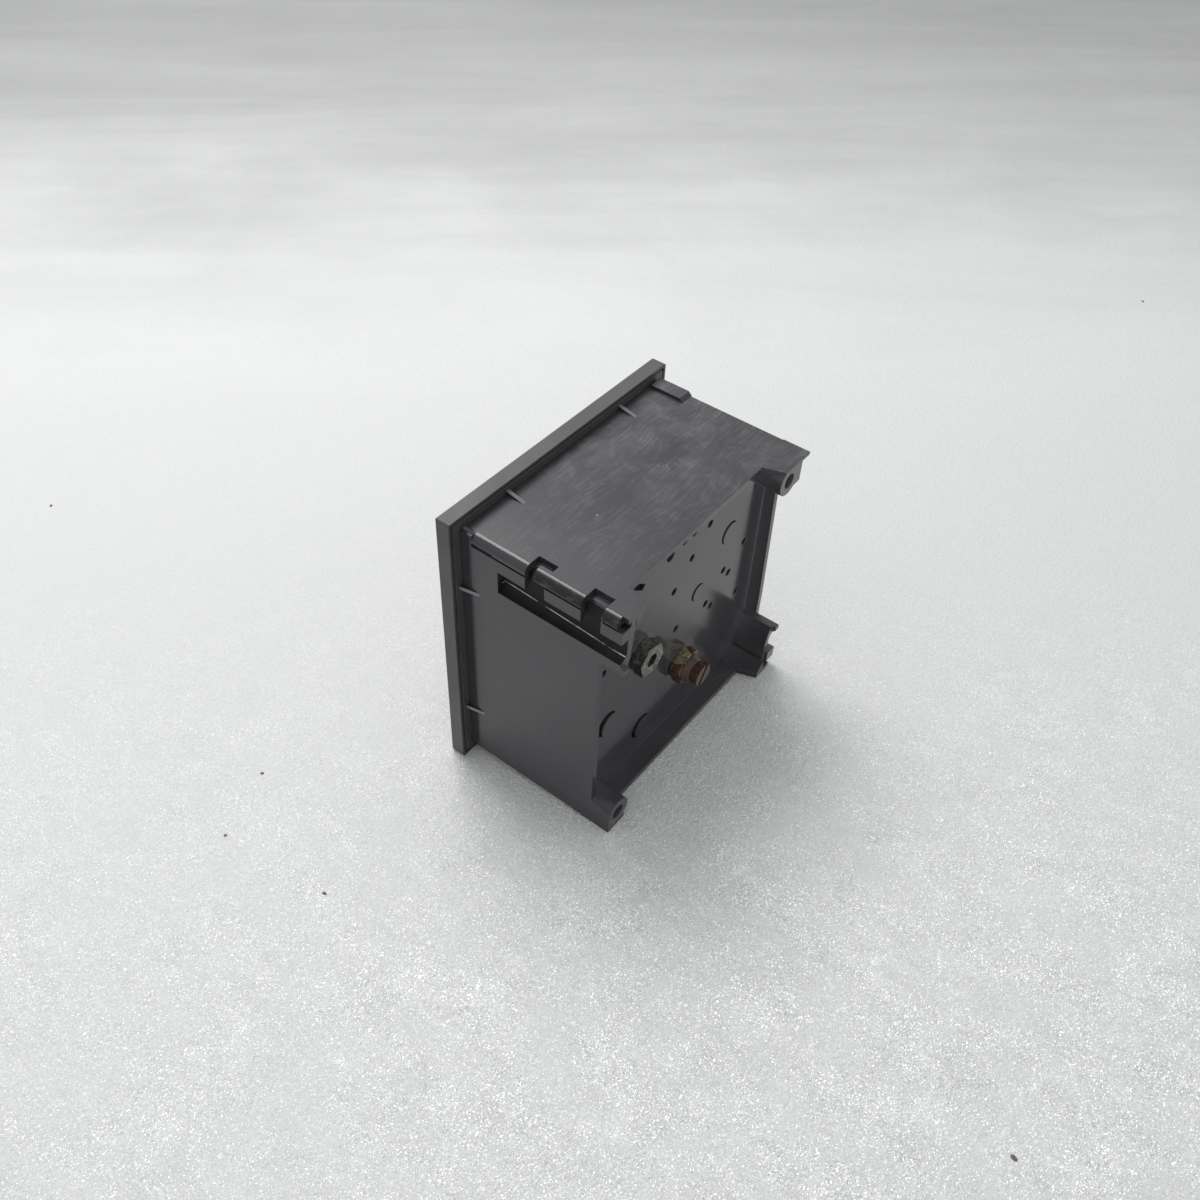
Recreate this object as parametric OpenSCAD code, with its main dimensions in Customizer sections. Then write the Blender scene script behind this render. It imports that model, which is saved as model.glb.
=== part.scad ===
// Square panel ammeter, quadrant scale, moving-iron movement.
// X is right seen from the front, Z is up, Y runs from the dial to the terminals.
// The plane y = 0 is the back of the bezel, where it meets the panel.

/* [Bezel] */
// How far the square bezel stands out past the case walls
bezel_lip = 3.9; // [3:0.1:6]
// Depth of the bezel in front of the panel
bezel_d = 5; // [4.5:0.1:8]
// Width of the bezel's frame round the dial opening
view_border = 6; // [5.8:0.1:9]
// Thickness of the front lip that holds the window
lip_t = 1; // [0.8:0.1:1.4]
// Rounding of the bezel's corners
bezel_r = 0.8; // [0.3:0.1:2]
// Chamfer along the bezel's front edges
bezel_chamfer = 0.5; // [0.2:0.1:0.8]
// Radius of the corner web that hides the movement
web_r = 32; // [31:0.5:34]

/* [Window] */
// Thickness of the glass pane
glass_t = 2; // [1.5:0.1:2.4]
// Thickness of the seal between the glass and the case
seal_t = 0.5; // [0.3:0.1:0.8]

/* [Case] */
// Outer width and height of the case behind the panel
case_w = 88.2; // [87.6:0.1:90]
// Thickness of the case walls
wall = 1.9; // [1.7:0.1:2.4]
// Depth of the step from the case walls down to the part inside the bezel
neck_step = 0.9; // [0.5:0.1:1]
// Distance from the panel plane to the rear rim
rim_y = 46.8; // [45.5:0.1:48.5]
// Distance from the panel plane to the ends of the corner posts
post_y = 53.4; // [52:0.1:56]
// How much further the lower rail reaches to the rear
low_more = 1.1; // [0.1:0.1:2]
// How much further the lower wall reaches to the rear
low_wall = 1.6; // [0.1:0.1:2]
// How far the rim of the side wall on the left dips, seen from the front
rim_dip = 1.2; // [0.2:0.1:2]
// Distance from the panel plane to the rear face of the rear wall
floor_y = 42.2; // [41.5:0.1:43]
// Thickness of the recessed rear wall
floor_t = 2; // [1.6:0.1:2.4]

/* [Fins and pads] */
// Distance of the gusset fins from the middle of each side
fin_x = 25; // [18:0.5:30]
// Height of a fin above the case wall, at the bezel
fin_h = 1.3; // [0.6:0.1:1.6]
// Length of a fin along the case
fin_l = 6.2; // [4.6:0.1:8]
// Thickness of a fin
fin_t = 1.2; // [0.7:0.1:1.5]
// Shift of the fins on the two side walls, downwards
fin_drop = 1.1; // [0:0.1:3]
// Height of the corner pad above the case wall
pad_h = 1.2; // [0.8:0.1:1.6]
// Width of the corner pad
pad_w = 4.8; // [4:0.1:7]
// End of the corner pad, before its chamfer
pad_y = 11.4; // [9:0.1:13]

/* [Clamp rails] */
// Distance from the outer skin to the inner face of a rail wall
rail_depth = 5.9; // [5.1:0.1:6.1]
// Thickness of the rail walls
rail_wall = 1.8; // [1.5:0.1:2]
// How far a rail wall leans outwards over its height
rail_lean = 1.2; // [0.2:0.1:1.4]
// Width of the web between a rail wall and the outer skin
rail_web = 3.4; // [1:0.1:4]
// Start of the clamp slot
slot_y = 12.9; // [11:0.1:15]
// Distance from the top face down to the lower edge of the clamp slot
slot_base = 14.8; // [14.1:0.1:16]
// Distance from the top face down to the upper edge of the clamp slot
slot_top = 7.4; // [6.6:0.1:8]
// Start of the first hook notch
notch_1 = 22.2; // [21:0.1:24]
// Start of the second hook notch
notch_2 = 40.3; // [39:0.1:42]
// Length of a hook notch
notch_l = 6.4; // [5.5:0.1:7.5]
// Radius of the rounded rail edge
rail_r = 2.3; // [1.8:0.1:2.4]

/* [Corner posts] */
// Outer radius of the screw bosses
boss_r = 4.7; // [4:0.1:5]
// Radius of the holes in the screw bosses
boss_hole_r = 2.4; // [1.6:0.1:2.8]
// Depth of the holes in the screw bosses
boss_hole_l = 9; // [6:0.5:10]
// Width of the tab beside each rail, beyond the rim
tab_w = 3.2; // [2.5:0.1:5]
// How much the skin beside a post narrows towards its end
skin_taper = 2.2; // [1:0.1:4]

/* [Dial] */
// Distance from the panel plane to the printed face of the dial
dial_y = 5; // [4.5:0.1:5.6]
// Thickness of the dial plate
dial_t = 0.6; // [0.5:0.1:1]
// Radius of the dial screw heads
dial_head_r = 2; // [1.6:0.1:2.4]

/* [Movement] */
// Distance of the spindle from the two nearest walls
pivot_in = 12.2; // [11.8:0.1:12.4]
// Length of the pointer from the spindle to its tip
pointer_l = 60; // [50:0.5:64]
// Radius of the spindle
spindle_r = 0.6; // [0.5:0.05:0.8]
// Radius of the coil bobbin flanges
coil_r = 11; // [10:0.1:11]
// Radius of the bore through the coil bobbin
coil_bore_r = 7.6; // [7.2:0.1:8]
// Length of the coil bobbin
coil_l = 17.6; // [15:0.1:18]
// Distance of the two movement pillars from the spindle
pillar_x = 13.5; // [13.3:0.1:13.7]
// Radius of the movement pillars
pillar_r = 2; // [1.8:0.1:2.1]
// Travel of the pointer over the scale, in degrees
scale_deg = 90; // [80:1:90]
// Overtravel to each pointer stop, in degrees
over_deg = 2; // [1:0.5:4]
// Outer radius of the hairspring
hair_r = 6; // [5:0.1:6.2]
// Radius of the damping vane
vane_r = 10.6; // [10:0.1:10.8]

/* [Zero adjuster] */
// Radius of the slotted head
zero_head_r = 3.3; // [3:0.1:3.6]
// Radius of the adjuster body in the bezel web
zero_body_r = 2.3; // [2:0.1:2.5]
// Offset of the eccentric pin from the adjuster axis
zero_pin_x = 1.5; // [1.2:0.1:1.6]
// Distance of the adjuster from the spindle
zero_dist = 9; // [8.6:0.1:9.6]

/* [Terminals] */
// Distance of the terminals from the diagonal of the case
term_side = 15.1; // [14:0.1:16]
// Distance of the terminals along the diagonal, towards the pivot
term_along = 9.9; // [9:0.1:11]
// Width across the flats of the hexagonal terminal
term_af = 10; // [9:0.1:11]
// Height of the hexagonal terminal
term_h = 3.4; // [3:0.1:4.5]
// Radius of the terminal shank
shank_r = 3; // [2.6:0.1:3.2]
// Radius of the threaded hole in the terminal
thread_r = 2.1; // [1.7:0.05:2.2]
// Radius of the clamping screw head
screw_head_r = 3.7; // [3.2:0.1:4.2]
// Height of the clamping screw head
screw_head_h = 4.2; // [3:0.1:4.5]

/* [Hidden] */
$fn = 48;
eps = 0.01;
gap = 0.15;
run_gap = 0.06;

// Case and bezel
half = case_w / 2;
neck = half - neck_step;
inner = half - wall;
bezel = half + bezel_lip;
view = bezel - view_border;
cavity = neck + gap;
glass_front = lip_t - bezel_d;
glass_back = glass_front + glass_t;
case_front = glass_back + seal_t;
pane = cavity - gap;
floor_in = floor_y - floor_t;
groove_d = 0.6;
snap_h = 0.35;
snap_l = 12;
snap_y = (case_front - 0.2) / 2;
snap_w = 0.6;

// Clamp rails
rail_in = half - rail_depth;
slot_low = half - slot_base;
slot_high = half - slot_top;
slot_in = rail_in + rail_wall;
plate_in = half - rail_wall;
lip_arc_r = half - slot_in - rail_lean;
lip_arc_x = half;
lip_arc_z = slot_low + lip_arc_r;
plate_top = half - rail_r - 1.2;
rail_y = 4;
groove_w = 1.3;
bar_gap = 1.8;
tab_more = 1.3;
skin_t = wall;

// Corner posts
post_tr = [10.1 - half, half - 4.4];
post_tr_x = half - 3.7;
post_bl = [half - 4.4, 5.8 - half];
post_bl_x = half - 7.7;
post_skin = 1;
post_edge = 4.7;

// Pivot, terminals and adjuster
px = inner - pivot_in;
pz = -px;
d45 = sqrt(0.5);
along = term_along * d45;
side = term_side * d45;
term_1 = [along + side, -along + side];
term_2 = [along - side, -along - side];
zero_x = px + zero_dist * d45;
zero_z = pz - zero_dist * d45;

// Depths of the movement, front to back
lever_y = 0.2;
lever_t = 0.6;
bridge_y = lever_y + lever_t + 0.2;
bridge_t = 1.4;
hair_y = bridge_y + bridge_t + 0.25;
hair_w = 0.4;
pointer_y = dial_y - 1.7;
pointer_t = 0.3;
frame_t = 2.5;
frame_y = floor_in - 8.5;
coil_y = frame_y - coil_l;
vane_y = coil_y - 4.1;
vane_t = 0.3;
jewel_r = 1.9;
screw_r = 1;
screw_slack = 0.05;

// Terminal stack
washer_t = 0.8;
washer_r = 5.2;
term_back = floor_y + washer_t;
term_end = term_back + term_h;
nut_h = 3.2;
shank_end = floor_in - washer_t * 2 - nut_h - 1;
screw_shank_r = thread_r - screw_slack;
lock_t = 0.9;

// Extrudes a plane shape along Y, from y0 to y1
module along_y(y0, y1) {
    translate([0, y1, 0]) rotate([90, 0, 0]) linear_extrude(y1 - y0) children();
}

// A round rod along Y
module rod(x, z, r, y0, y1) {
    translate([x, y0, z]) rotate([-90, 0, 0]) cylinder(r = r, h = y1 - y0);
}

// A square with rounded corners, given by half its width
module rounded(h, r) {
    square([2 * (h - r), 2 * h], center = true);
    square([2 * h, 2 * (h - r)], center = true);
    for (x = [-1, 1], y = [-1, 1]) translate([x * (h - r), y * (h - r)]) circle(r = r);
}

// A box from one corner to the other
module block(a, b) {
    translate([min(a[0], b[0]), min(a[1], b[1]), min(a[2], b[2])])
        cube([abs(b[0] - a[0]), abs(b[1] - a[1]), abs(b[2] - a[2])]);
}

// Repeats a shape on the four sides of the case
module on_sides() {
    for (a = [0:90:270]) rotate([0, a, 0]) children();
}

// Repeats a shape at the two opposite rail corners
module on_rails() {
    for (a = [0, 180]) rotate([0, a, 0]) children();
}

// A triangular fin that leans on the back of the bezel
module fin(x, h, l) {
    translate([x - fin_t / 2, 0, 0]) rotate([90, 0, 90])
        linear_extrude(fin_t) polygon([[0, half - 1], [0, half + h], [l, half], [l, half - 1]]);
}

// Fins on all four walls and in the upper corner at the right
module fins() {
    for (a = [0:90:270]) {
        drop = a == 90 ? fin_drop : a == 270 ? -fin_drop : 0;
        rotate([0, a, 0]) for (x = [-fin_x, fin_x]) fin(x + drop, fin_h, fin_l);
    }
    for (a = [0, 180]) rotate([0, a, 0]) fin(half - rail_r / 2, fin_h * 0.7, rail_y);
}

// The pad that centres one case corner in the panel cut-out
module corner_pad() {
    translate([-half, 0, 0]) rotate([90, 0, 90]) linear_extrude(pad_w) polygon([
        [1, half - 1], [1, half + pad_h], [pad_y, half + pad_h],
        [pad_y + pad_h, half], [pad_y + pad_h, half - 1]
    ]);
}

// Everything outside the leaning wall of a rail
module rail_outside() {
    low = slot_low - tab_w;
    polygon([[rail_in, half + 5], [rail_in, half], [rail_in + rail_lean, lip_arc_z],
        [rail_in + rail_lean + 0.7, low + 2.6], [rail_in + rail_lean + 2, low],
        [half + 5, low], [half + 5, half + 5]]);
}

// Everything outside the channel face of the same wall
module channel_side() {
    polygon([[slot_in, half + 5], [slot_in, half], [slot_in + rail_lean, slot_high],
        [slot_in + rail_lean, lip_arc_z - eps], [half + 5, lip_arc_z - eps], [half + 5, half + 5]]);
    intersection() {
        translate([lip_arc_x, lip_arc_z]) circle(r = lip_arc_r);
        translate([slot_in, slot_low - 1]) square([half - slot_in, lip_arc_r + 1]);
    }
    translate([half - eps, slot_low]) square([5, lip_arc_r]);
}

// Wall that separates a clamp rail from the inside of the case
module rail_lining() {
    difference() {
        intersection() {
            rail_outside();
            square(half);
        }
        channel_side();
    }
}

// Rounded edge that the clamp hooks grip, seen end on
module rail_bar() {
    difference() {
        translate([half - rail_r, half - rail_r]) union() {
            circle(r = rail_r);
            translate([-rail_r / 2, 0]) square([rail_r / 2, rail_r]);
        }
        translate([0, half - rail_r - rail_r]) square([half + 1, rail_r * 0.8]);
    }
}

// Top skin of a rail, next to its rounded edge
module rail_top() {
    translate([rail_in, half - rail_wall]) square([half - rail_r - rail_in, rail_wall]);
}

// Side skin of a rail, above the clamp slot
module rail_plate() {
    translate([plate_in, slot_high]) square([rail_wall, plate_top - slot_high]);
}

// Neck that joins the side skin to the rounded edge
module rail_neck() {
    translate([plate_in, plate_top - eps]) square([rail_wall - groove_w / 2, groove_w + rail_r / 2]);
}

// Front end of the clamp slot and rear end of the side skin, each closed by a rib
module rail_ribs(end) {
    along_y(slot_y - rail_wall, slot_y) difference() {
        channel_side();
        translate([0, half - rail_r]) square(half + 6);
        translate([half, 0]) square(half + 6);
        translate([plate_in, plate_top]) square(half);
    }
    along_y(end - rail_wall, end)
        translate([slot_in + 0.2, slot_high])
            square([half - slot_in - 0.2, plate_top - slot_high]);
}

// One clamp rail, in the corner at the upper right seen from the front
module clamp_rail(more) {
    end = post_y + more;
    bar_end = end - bar_gap;
    rim = more > 0 ? rim_y + low_wall : rim_y;
    tab_end = post_y + tab_more;
    difference() {
        along_y(slot_y - rail_wall, post_y) rail_lining();
        for (y = [notch_1, notch_2])
            block([rail_in - 1, y, half - rail_wall], [half + 1, y + notch_l, half + 1]);
    }
    along_y(slot_y - rail_wall, notch_1) {
        rail_bar();
        rail_top();
        rail_neck();
        rail_plate();
    }
    for (run = [[notch_1 + notch_l, notch_2], [notch_2 + notch_l, bar_end]])
        along_y(run[0], run[1]) {
            rail_bar();
            rail_top();
            rail_plate();
            rail_neck();
        }
    along_y(notch_1 + notch_l - 3.8, notch_1 + notch_l + eps) rail_bar();
    along_y(bar_end - eps, end) {
        rail_top();
        rail_plate();
    }
    rail_ribs(end);
    // web of outer skin that braces the wall behind the rim
    translate([0, 0, half - skin_t]) linear_extrude(skin_t) polygon([
        [rail_in + eps, rim - 1], [rail_in - rail_web - skin_taper, rim - 1],
        [rail_in - rail_web - skin_taper, rim], [rail_in - rail_web, end], [rail_in + eps, end]
    ]);
    along_y(floor_y - eps, end) polygon([
        [rail_in - rail_web, half - 1], [rail_in - rail_web, half - skin_t - eps],
        [rail_in + eps, half - skin_t - rail_web], [rail_in + eps, half - 1]
    ]);
    translate([half - wall, 0, 0]) rotate([90, 0, 90]) linear_extrude(wall) polygon([
        [rim_y - 2, slot_low - tab_w], [tab_end, slot_low - tab_w],
        [tab_end, slot_low - tab_w / 2], [post_y - 0.8, slot_low], [rim_y - 2, slot_low]
    ]);
}

// Space taken out of the case for one clamp rail
module rail_cut() {
    along_y(slot_y - rail_wall, post_y + 5) difference() {
        rail_outside();
        translate([half - wall, 0]) square([wall, slot_low]);
    }
    along_y(rail_y, slot_y) difference() {
        translate([half - rail_r, half - rail_r]) square(rail_r + 1);
        translate([half - rail_r, half - rail_r]) circle(r = rail_r);
    }
    along_y(rail_y - eps, slot_y - rail_wall + eps)
        translate([half - groove_w / 2, plate_top]) square([groove_w, half - rail_r - plate_top]);
}

// Screw boss block at the upper corner opposite the rails
module upper_post() {
    along_y(floor_in, post_y) intersection() {
        square(2 * half, center = true);
        union() {
            translate(post_tr) circle(r = boss_r);
            translate([-post_tr_x, post_tr[1] - boss_r + 1.2])
                square([post_tr_x + post_tr[0], half]);
        }
    }
    translate([0, 0, half - skin_t]) linear_extrude(skin_t) polygon([
        [post_tr[0], rim_y - 1], [post_tr[0] + post_edge, rim_y - 1],
        [post_tr[0] + post_edge, rim_y], [post_tr[0] + post_edge - skin_taper, post_y],
        [post_tr[0], post_y]
    ]);
    block([-half, rim_y - rim_dip - 1, half - post_skin], [-post_tr_x + eps, post_y, half]);
}

// Screw boss block at the lower corner behind the movement
module lower_post() {
    along_y(floor_in, post_y) intersection() {
        square(2 * half, center = true);
        union() {
            translate(post_bl) circle(r = boss_r);
            translate([post_bl_x, -half]) square([half, post_bl[1] + half]);
        }
    }
    translate([half - skin_t, 0, 0]) rotate([90, 0, 90]) linear_extrude(skin_t) polygon([
        [rim_y - 1, post_bl[1]], [rim_y - 1, post_bl[1] + post_edge],
        [rim_y, post_bl[1] + post_edge], [post_y, post_bl[1] + post_edge - skin_taper],
        [post_y, post_bl[1]]
    ]);
}

// Small holes through the rear wall
small_holes = [
    [-12.5, 31.9], [-4.6, 24.5], [3.1, 17], [-0.2, -0.8], [35.1, 10.2],
    [17.4, 35.3], [-34.4, 9.9], [-34.2, -11.1]
];
dimples = [[0.3, 34.1], [-4.5, 34]];
hole_pairs = [[-24.1, 5.4], [-15.9, -2.6]];
pair_step = [-3.3, -3.3];
hole_r = 1.25;

// Crescent slots: centre, radius and greatest width
crescents = [
    [-24.4, 20.4, 3.9, 1.7], [-10.2, 6.7, 3, 1.6], [32, -14.2, 4.4, 3.4], [14.2, -32, 4.4, 3.4]
];

// Shallow round recess near the upper wall: centre and radius
recess = [6.9, 33.4, 1.8];
recess_d = 0.7;

module crescent(c) {
    translate([c[0], c[1]]) difference() {
        circle(r = c[2]);
        translate([-c[3] * d45, -c[3] * d45]) circle(r = c[2]);
    }
}

// Everything that is sunk into the rear wall
module rear_wall_holes() {
    for (h = small_holes) rod(h[0], h[1], hole_r, floor_in - 1, floor_y + 1);
    for (h = hole_pairs, k = [0, 1])
        rod(h[0] + k * pair_step[0], h[1] + k * pair_step[1], hole_r, floor_in - 1, floor_y + 1);
    for (t = [term_1, term_2]) rod(t[0], t[1], shank_r + gap, floor_in - 1, floor_y + 1);
    along_y(floor_y - floor_t * 0.7, floor_y + 1) for (c = crescents) crescent(c);
    rod(recess[0], recess[1], recess[2], floor_y - recess_d, floor_y + 1);
    for (h = dimples) rod(h[0], h[1], hole_r * 0.9, floor_y - 0.3, floor_y + 1);
    translate([21, floor_y, 32.4]) rotate([0, -36, 0])
        cube([5.4, floor_t * 1.4, 2], center = true);
}

// Pillars that carry the dial plate
dial_fix = [[8.7 - inner, 4.2 - inner], [inner - 8.7, inner - 4.2]];
dial_post_r = 3;

module dial_pillars() {
    for (s = [0, 1]) {
        p = dial_fix[s];
        wall_z = (s * 2 - 1) * (inner + eps);
        difference() {
            union() {
                rod(p[0], p[1], dial_post_r, dial_y + dial_t, floor_in + eps);
                block([p[0] - 0.8, dial_y + dial_t + 2, p[1]], [p[0] + 0.8, floor_in + eps, wall_z]);
            }
            rod(p[0], p[1], screw_r + screw_slack, dial_y, dial_y + dial_screw_l + 2);
        }
    }
}

// Bosses that carry the movement frame
frame_fix = [[inner - 4.7, pz + 17.8], [px - 17.8, 4.7 - inner], [px - 13.4, pz + 13.4]];

module frame_bosses() {
    for (p = frame_fix) difference() {
        rod(p[0], p[1], 3, frame_y + frame_t, floor_in + eps);
        rod(p[0], p[1], screw_r + screw_slack, frame_y, floor_in - 0.6);
    }
}

module case() color("#3a3b3e") {
    difference() {
        union() {
            along_y(case_front, eps) rounded(neck, 0.6);
            along_y(0, rim_y) rounded(half, 0.5);
            block([-half + 0.5, rim_y - 1, -half], [half - 0.5, rim_y + low_wall, -inner]);
            fins();
            on_sides() block([-snap_l / 2, snap_y - snap_w / 2, neck - eps],
                [snap_l / 2, snap_y + snap_w / 2, neck + snap_h]);
        }
        along_y(case_front - 1, floor_in) rounded(inner, 0.5);
        along_y(floor_y, rim_y + low_wall + 1) rounded(inner, 0.5);
        rear_wall_holes();
        on_rails() rail_cut();
        translate([-half - 1, 0, 0]) rotate([90, 0, 90]) linear_extrude(wall + 1 + eps)
            polygon([[rim_y - rim_dip, inner], [rim_y + 0.2, tab_w - slot_low],
                [rim_y + low_wall + 1, tab_w - slot_low], [rim_y + low_wall + 1, inner]]);
    }
    corner_pad();
    clamp_rail(0);
    rotate([0, 180, 0]) clamp_rail(low_more);
    difference() {
        upper_post();
        rod(post_tr[0], post_tr[1], boss_hole_r, post_y - boss_hole_l, post_y + 1);
    }
    difference() {
        lower_post();
        rod(post_bl[0], post_bl[1], boss_hole_r, post_y - boss_hole_l, post_y + 1);
    }
    dial_pillars();
    frame_bosses();
}

// Chamfer cutter along the top edge of a square frame
module edge_cut(h, y, c, inward) {
    s = inward ? -1 : 1;
    translate([-h - 2, y, h]) rotate([90, 0, 90]) linear_extrude(2 * h + 4)
        polygon([[-1, -s * (c + 1)], [c, 0], [c, s], [-1, s]]);
}

module bezel() color("#4a4b49") {
    difference() {
        along_y(-bezel_d, 0) rounded(bezel, bezel_r);
        along_y(glass_front, 1) rounded(cavity, 0.4);
        along_y(-bezel_d - 1, 0) difference() {
            rounded(view, 0.8);
            translate([view, -view]) circle(r = web_r);
        }
        along_y(-groove_d, 1) difference() {
            rounded(bezel - 0.9, bezel_r);
            rounded(bezel - 1.5, bezel_r);
        }
        on_sides() edge_cut(bezel, -bezel_d, bezel_chamfer, false);
        on_sides() block([-snap_l / 2 - gap, snap_y - snap_w / 2 - gap, neck],
            [snap_l / 2 + gap, snap_y + snap_w / 2 + gap, neck + snap_h + gap]);
        rod(zero_x, zero_z, zero_body_r + run_gap, -bezel_d - 1, 0);
    }
}

module window() color("#cfe0e0", 0.35) {
    difference() {
        along_y(glass_front, glass_back) rounded(pane, 0.4);
        rod(zero_x, zero_z, zero_body_r + 3 * gap, glass_front - 1, glass_back + 1);
    }
}

module window_seal() color("#26262a") {
    along_y(glass_back, case_front) difference() {
        rounded(pane, 0.4);
        rounded(inner, 0.5);
    }
}

// Zero adjuster: slotted head in front, eccentric pin behind
module zero_screw() color("#2c2c2f") {
    head_y = -bezel_d - 0.05;
    flange_y = glass_back + 0.05;
    difference() {
        union() {
            rod(zero_x, zero_z, zero_head_r, head_y - 0.7, head_y);
            rod(zero_x, zero_z, zero_body_r, head_y - eps, flange_y + eps);
            rod(zero_x, zero_z, zero_body_r + 0.7, flange_y, flange_y + 0.6);
        }
        translate([zero_x, head_y - 0.7, zero_z]) cube([zero_head_r * 3, 1, 0.9], center = true);
    }
    rod(zero_x + zero_pin_x * d45, zero_z - zero_pin_x * d45, 0.5, flange_y + 0.6 - eps, lever_y + lever_t);
}

// Lever round the front jewel, turned by the eccentric pin
module zero_lever() color("#c9a24a") {
    reach = zero_dist + zero_pin_x;
    along_y(lever_y, lever_y + lever_t) translate([px, pz]) difference() {
        union() {
            circle(r = jewel_r + 1.6);
            rotate(-45) translate([0, -1.5]) square([reach + 0.9, 3]);
            rotate(135) translate([0, -0.8]) square([hair_r + 1.2, 1.6]);
        }
        circle(r = jewel_r + run_gap);
        rotate(-45) translate([reach - 1.3, -0.65]) square([4, 1.3]);
    }
    translate([px, lever_y + lever_t - eps, pz]) rotate([0, -135, 0])
        translate([hair_r + hair_t / 2 + 0.02, 0, -0.8]) cube([0.8, hair_y + hair_w - lever_y - lever_t, 1.6]);
}

module dial_plate() color("#f2f1ea") {
    along_y(dial_y, dial_y + dial_t) difference() {
        square(2 * (inner - 0.3), center = true);
        translate([inner, -inner]) circle(r = web_r - 2.4);
        for (p = dial_fix) translate(p) circle(r = screw_r + 2 * screw_slack);
    }
}

module cheese_screw(x, z, r, h, y_seat, y_end, shank) {
    difference() {
        rod(x, z, r, y_seat - h, y_seat);
        translate([x, y_seat - h, z]) rotate([0, 20, 0])
            cube([r * 3, h, r * 0.3], center = true);
    }
    rod(x, z, shank, y_seat - eps, y_end);
}

dial_screw_l = 7;

module dial_screws() color("#b9b9b4") {
    for (p = dial_fix) cheese_screw(p[0], p[1], dial_head_r, 1.1, dial_y, dial_y + dial_screw_l, screw_r);
}

// Pegs that stop the pointer just past each end of the scale
stop_at = 22;
stop_r = 0.6;
pointer_root = 1.2;
pointer_hw = 0.45;
pointer_neck = pointer_l * 0.72;
stop_hw = pointer_root - (pointer_root - pointer_hw) * stop_at / pointer_neck;
stop_off = over_deg + asin((stop_r + stop_hw + 0.05) / stop_at);

module pointer_stops() color("#2a2a2c") {
    for (a = [-stop_off, scale_deg + stop_off])
        rod(px - stop_at * cos(a), pz + stop_at * sin(a), stop_r, pointer_y - 0.6, dial_y);
}

// Frame that carries the coil, the pillars and the rear jewel
module movement_frame() color("#2f3033") {
    edge = inner - 0.4;
    out = px + 2.8;
    step = px - 21.4;
    cut = 12;
    difference() {
        union() {
            along_y(frame_y, frame_y + frame_t) {
                polygon([[edge, -edge], [edge, -step], [out, -step],
                    [out - cut, -step - 0.9 * cut], [step + 0.9 * cut, cut - out],
                    [step, -out], [step, -edge]]);
                translate(frame_fix[2]) circle(r = 3.4);
                translate(frame_fix[2]) rotate(-45) translate([0, -3]) square([7, 6]);
            }
            for (s = [-1, 1])
                rod(px + s * pillar_x * d45, pz + s * pillar_x * d45, pillar_r,
                    bridge_y + bridge_t, frame_y + eps);
        }
        for (p = frame_fix) rod(p[0], p[1], screw_r + screw_slack, frame_y - 1, frame_y + frame_t + 1);
        rod(px, pz, jewel_r, frame_y - 1, frame_y + frame_t + 1);
        for (s = [-1, 1])
            rod(px + s * pillar_x * d45, pz + s * pillar_x * d45, 0.85,
                bridge_y, bridge_y + bridge_t + 6);
    }
}

module movement_screws() color("#b9b9b4") {
    for (p = frame_fix)
        cheese_screw(p[0], p[1], 2, 1.3, frame_y, floor_in - 1, screw_r);
}

module coil_bobbin() color("#d8d4c6") {
    tube_r = coil_bore_r + 0.8;
    difference() {
        union() {
            rod(px, pz, tube_r, coil_y, frame_y);
            rod(px, pz, coil_r, coil_y, coil_y + 1);
            rod(px, pz, coil_r, frame_y - 1, frame_y);
        }
        rod(px, pz, coil_bore_r, coil_y - 1, frame_y + 1);
    }
}

// Wire runs from the winding to the solder tags
wire_r = 0.8;
tag_reach = 8;
tag_t = 0.8;
tag_y = floor_in - washer_t - tag_t;
lead_y = frame_y - 1 - wire_r - 0.05;
coil_mid = coil_bore_r + 0.85 + wire_r;
wire_bend = 2;

bare_r = wire_r - 0.04;

// Bare wire end: straight from the coil towards a tag, then bent to the rear
module lead(start, tag) {
    run = norm(tag - start);
    turn = atan2(tag[1] - start[1], tag[0] - start[0]);
    translate([start[0], lead_y, start[1]]) rotate([0, -turn, 0]) {
        translate([-0.4, 0, 0]) rotate([0, 90, 0]) cylinder(r = bare_r, h = run - wire_bend + 0.4);
        translate([run - wire_bend, wire_bend, 0]) rotate([0, 0, -90])
            rotate_extrude(angle = 90) translate([wire_bend, 0]) circle(r = bare_r, $fn = 24);
        translate([run, wire_bend, 0]) rotate([-90, 0, 0])
            cylinder(r = bare_r, h = tag_y + tag_t - 0.3 - lead_y - wire_bend);
    }
}

module coil_winding() color("#a5562a") {
    turns = 9;
    first = coil_y + 1 + wire_r + 0.1;
    pitch = (lead_y - first) / (turns - 1);
    p = [px, pz];
    tag = tag_eye(term_1, 1);
    leave = atan2(tag[1] - pz, tag[0] - px) - acos(coil_mid / norm(tag - p));
    translate([px, lead_y, pz]) rotate([90, 0, 0]) {
        rotate_extrude() {
            for (k = [1:turns - 1]) translate([coil_mid, k * pitch]) circle(r = wire_r, $fn = 24);
            translate([coil_mid - 0.6, 0]) square([0.6, (turns - 1) * pitch]);
        }
        rotate(-90 - leave) rotate_extrude(angle = 90 + 2 * leave)
            translate([coil_mid, 0]) circle(r = wire_r, $fn = 24);
    }
    lead(p + coil_mid * [cos(leave), sin(leave)], tag);
    lead(p - coil_mid * [sin(leave), cos(leave)], tag_eye(term_2, -1));
}

// Eye of a solder tag, on the line from its terminal to the movement
function tag_eye(t, s) = [t[0] + tag_reach * sin(45 - s * 30), t[1] - tag_reach * cos(45 - s * 30)];

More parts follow.
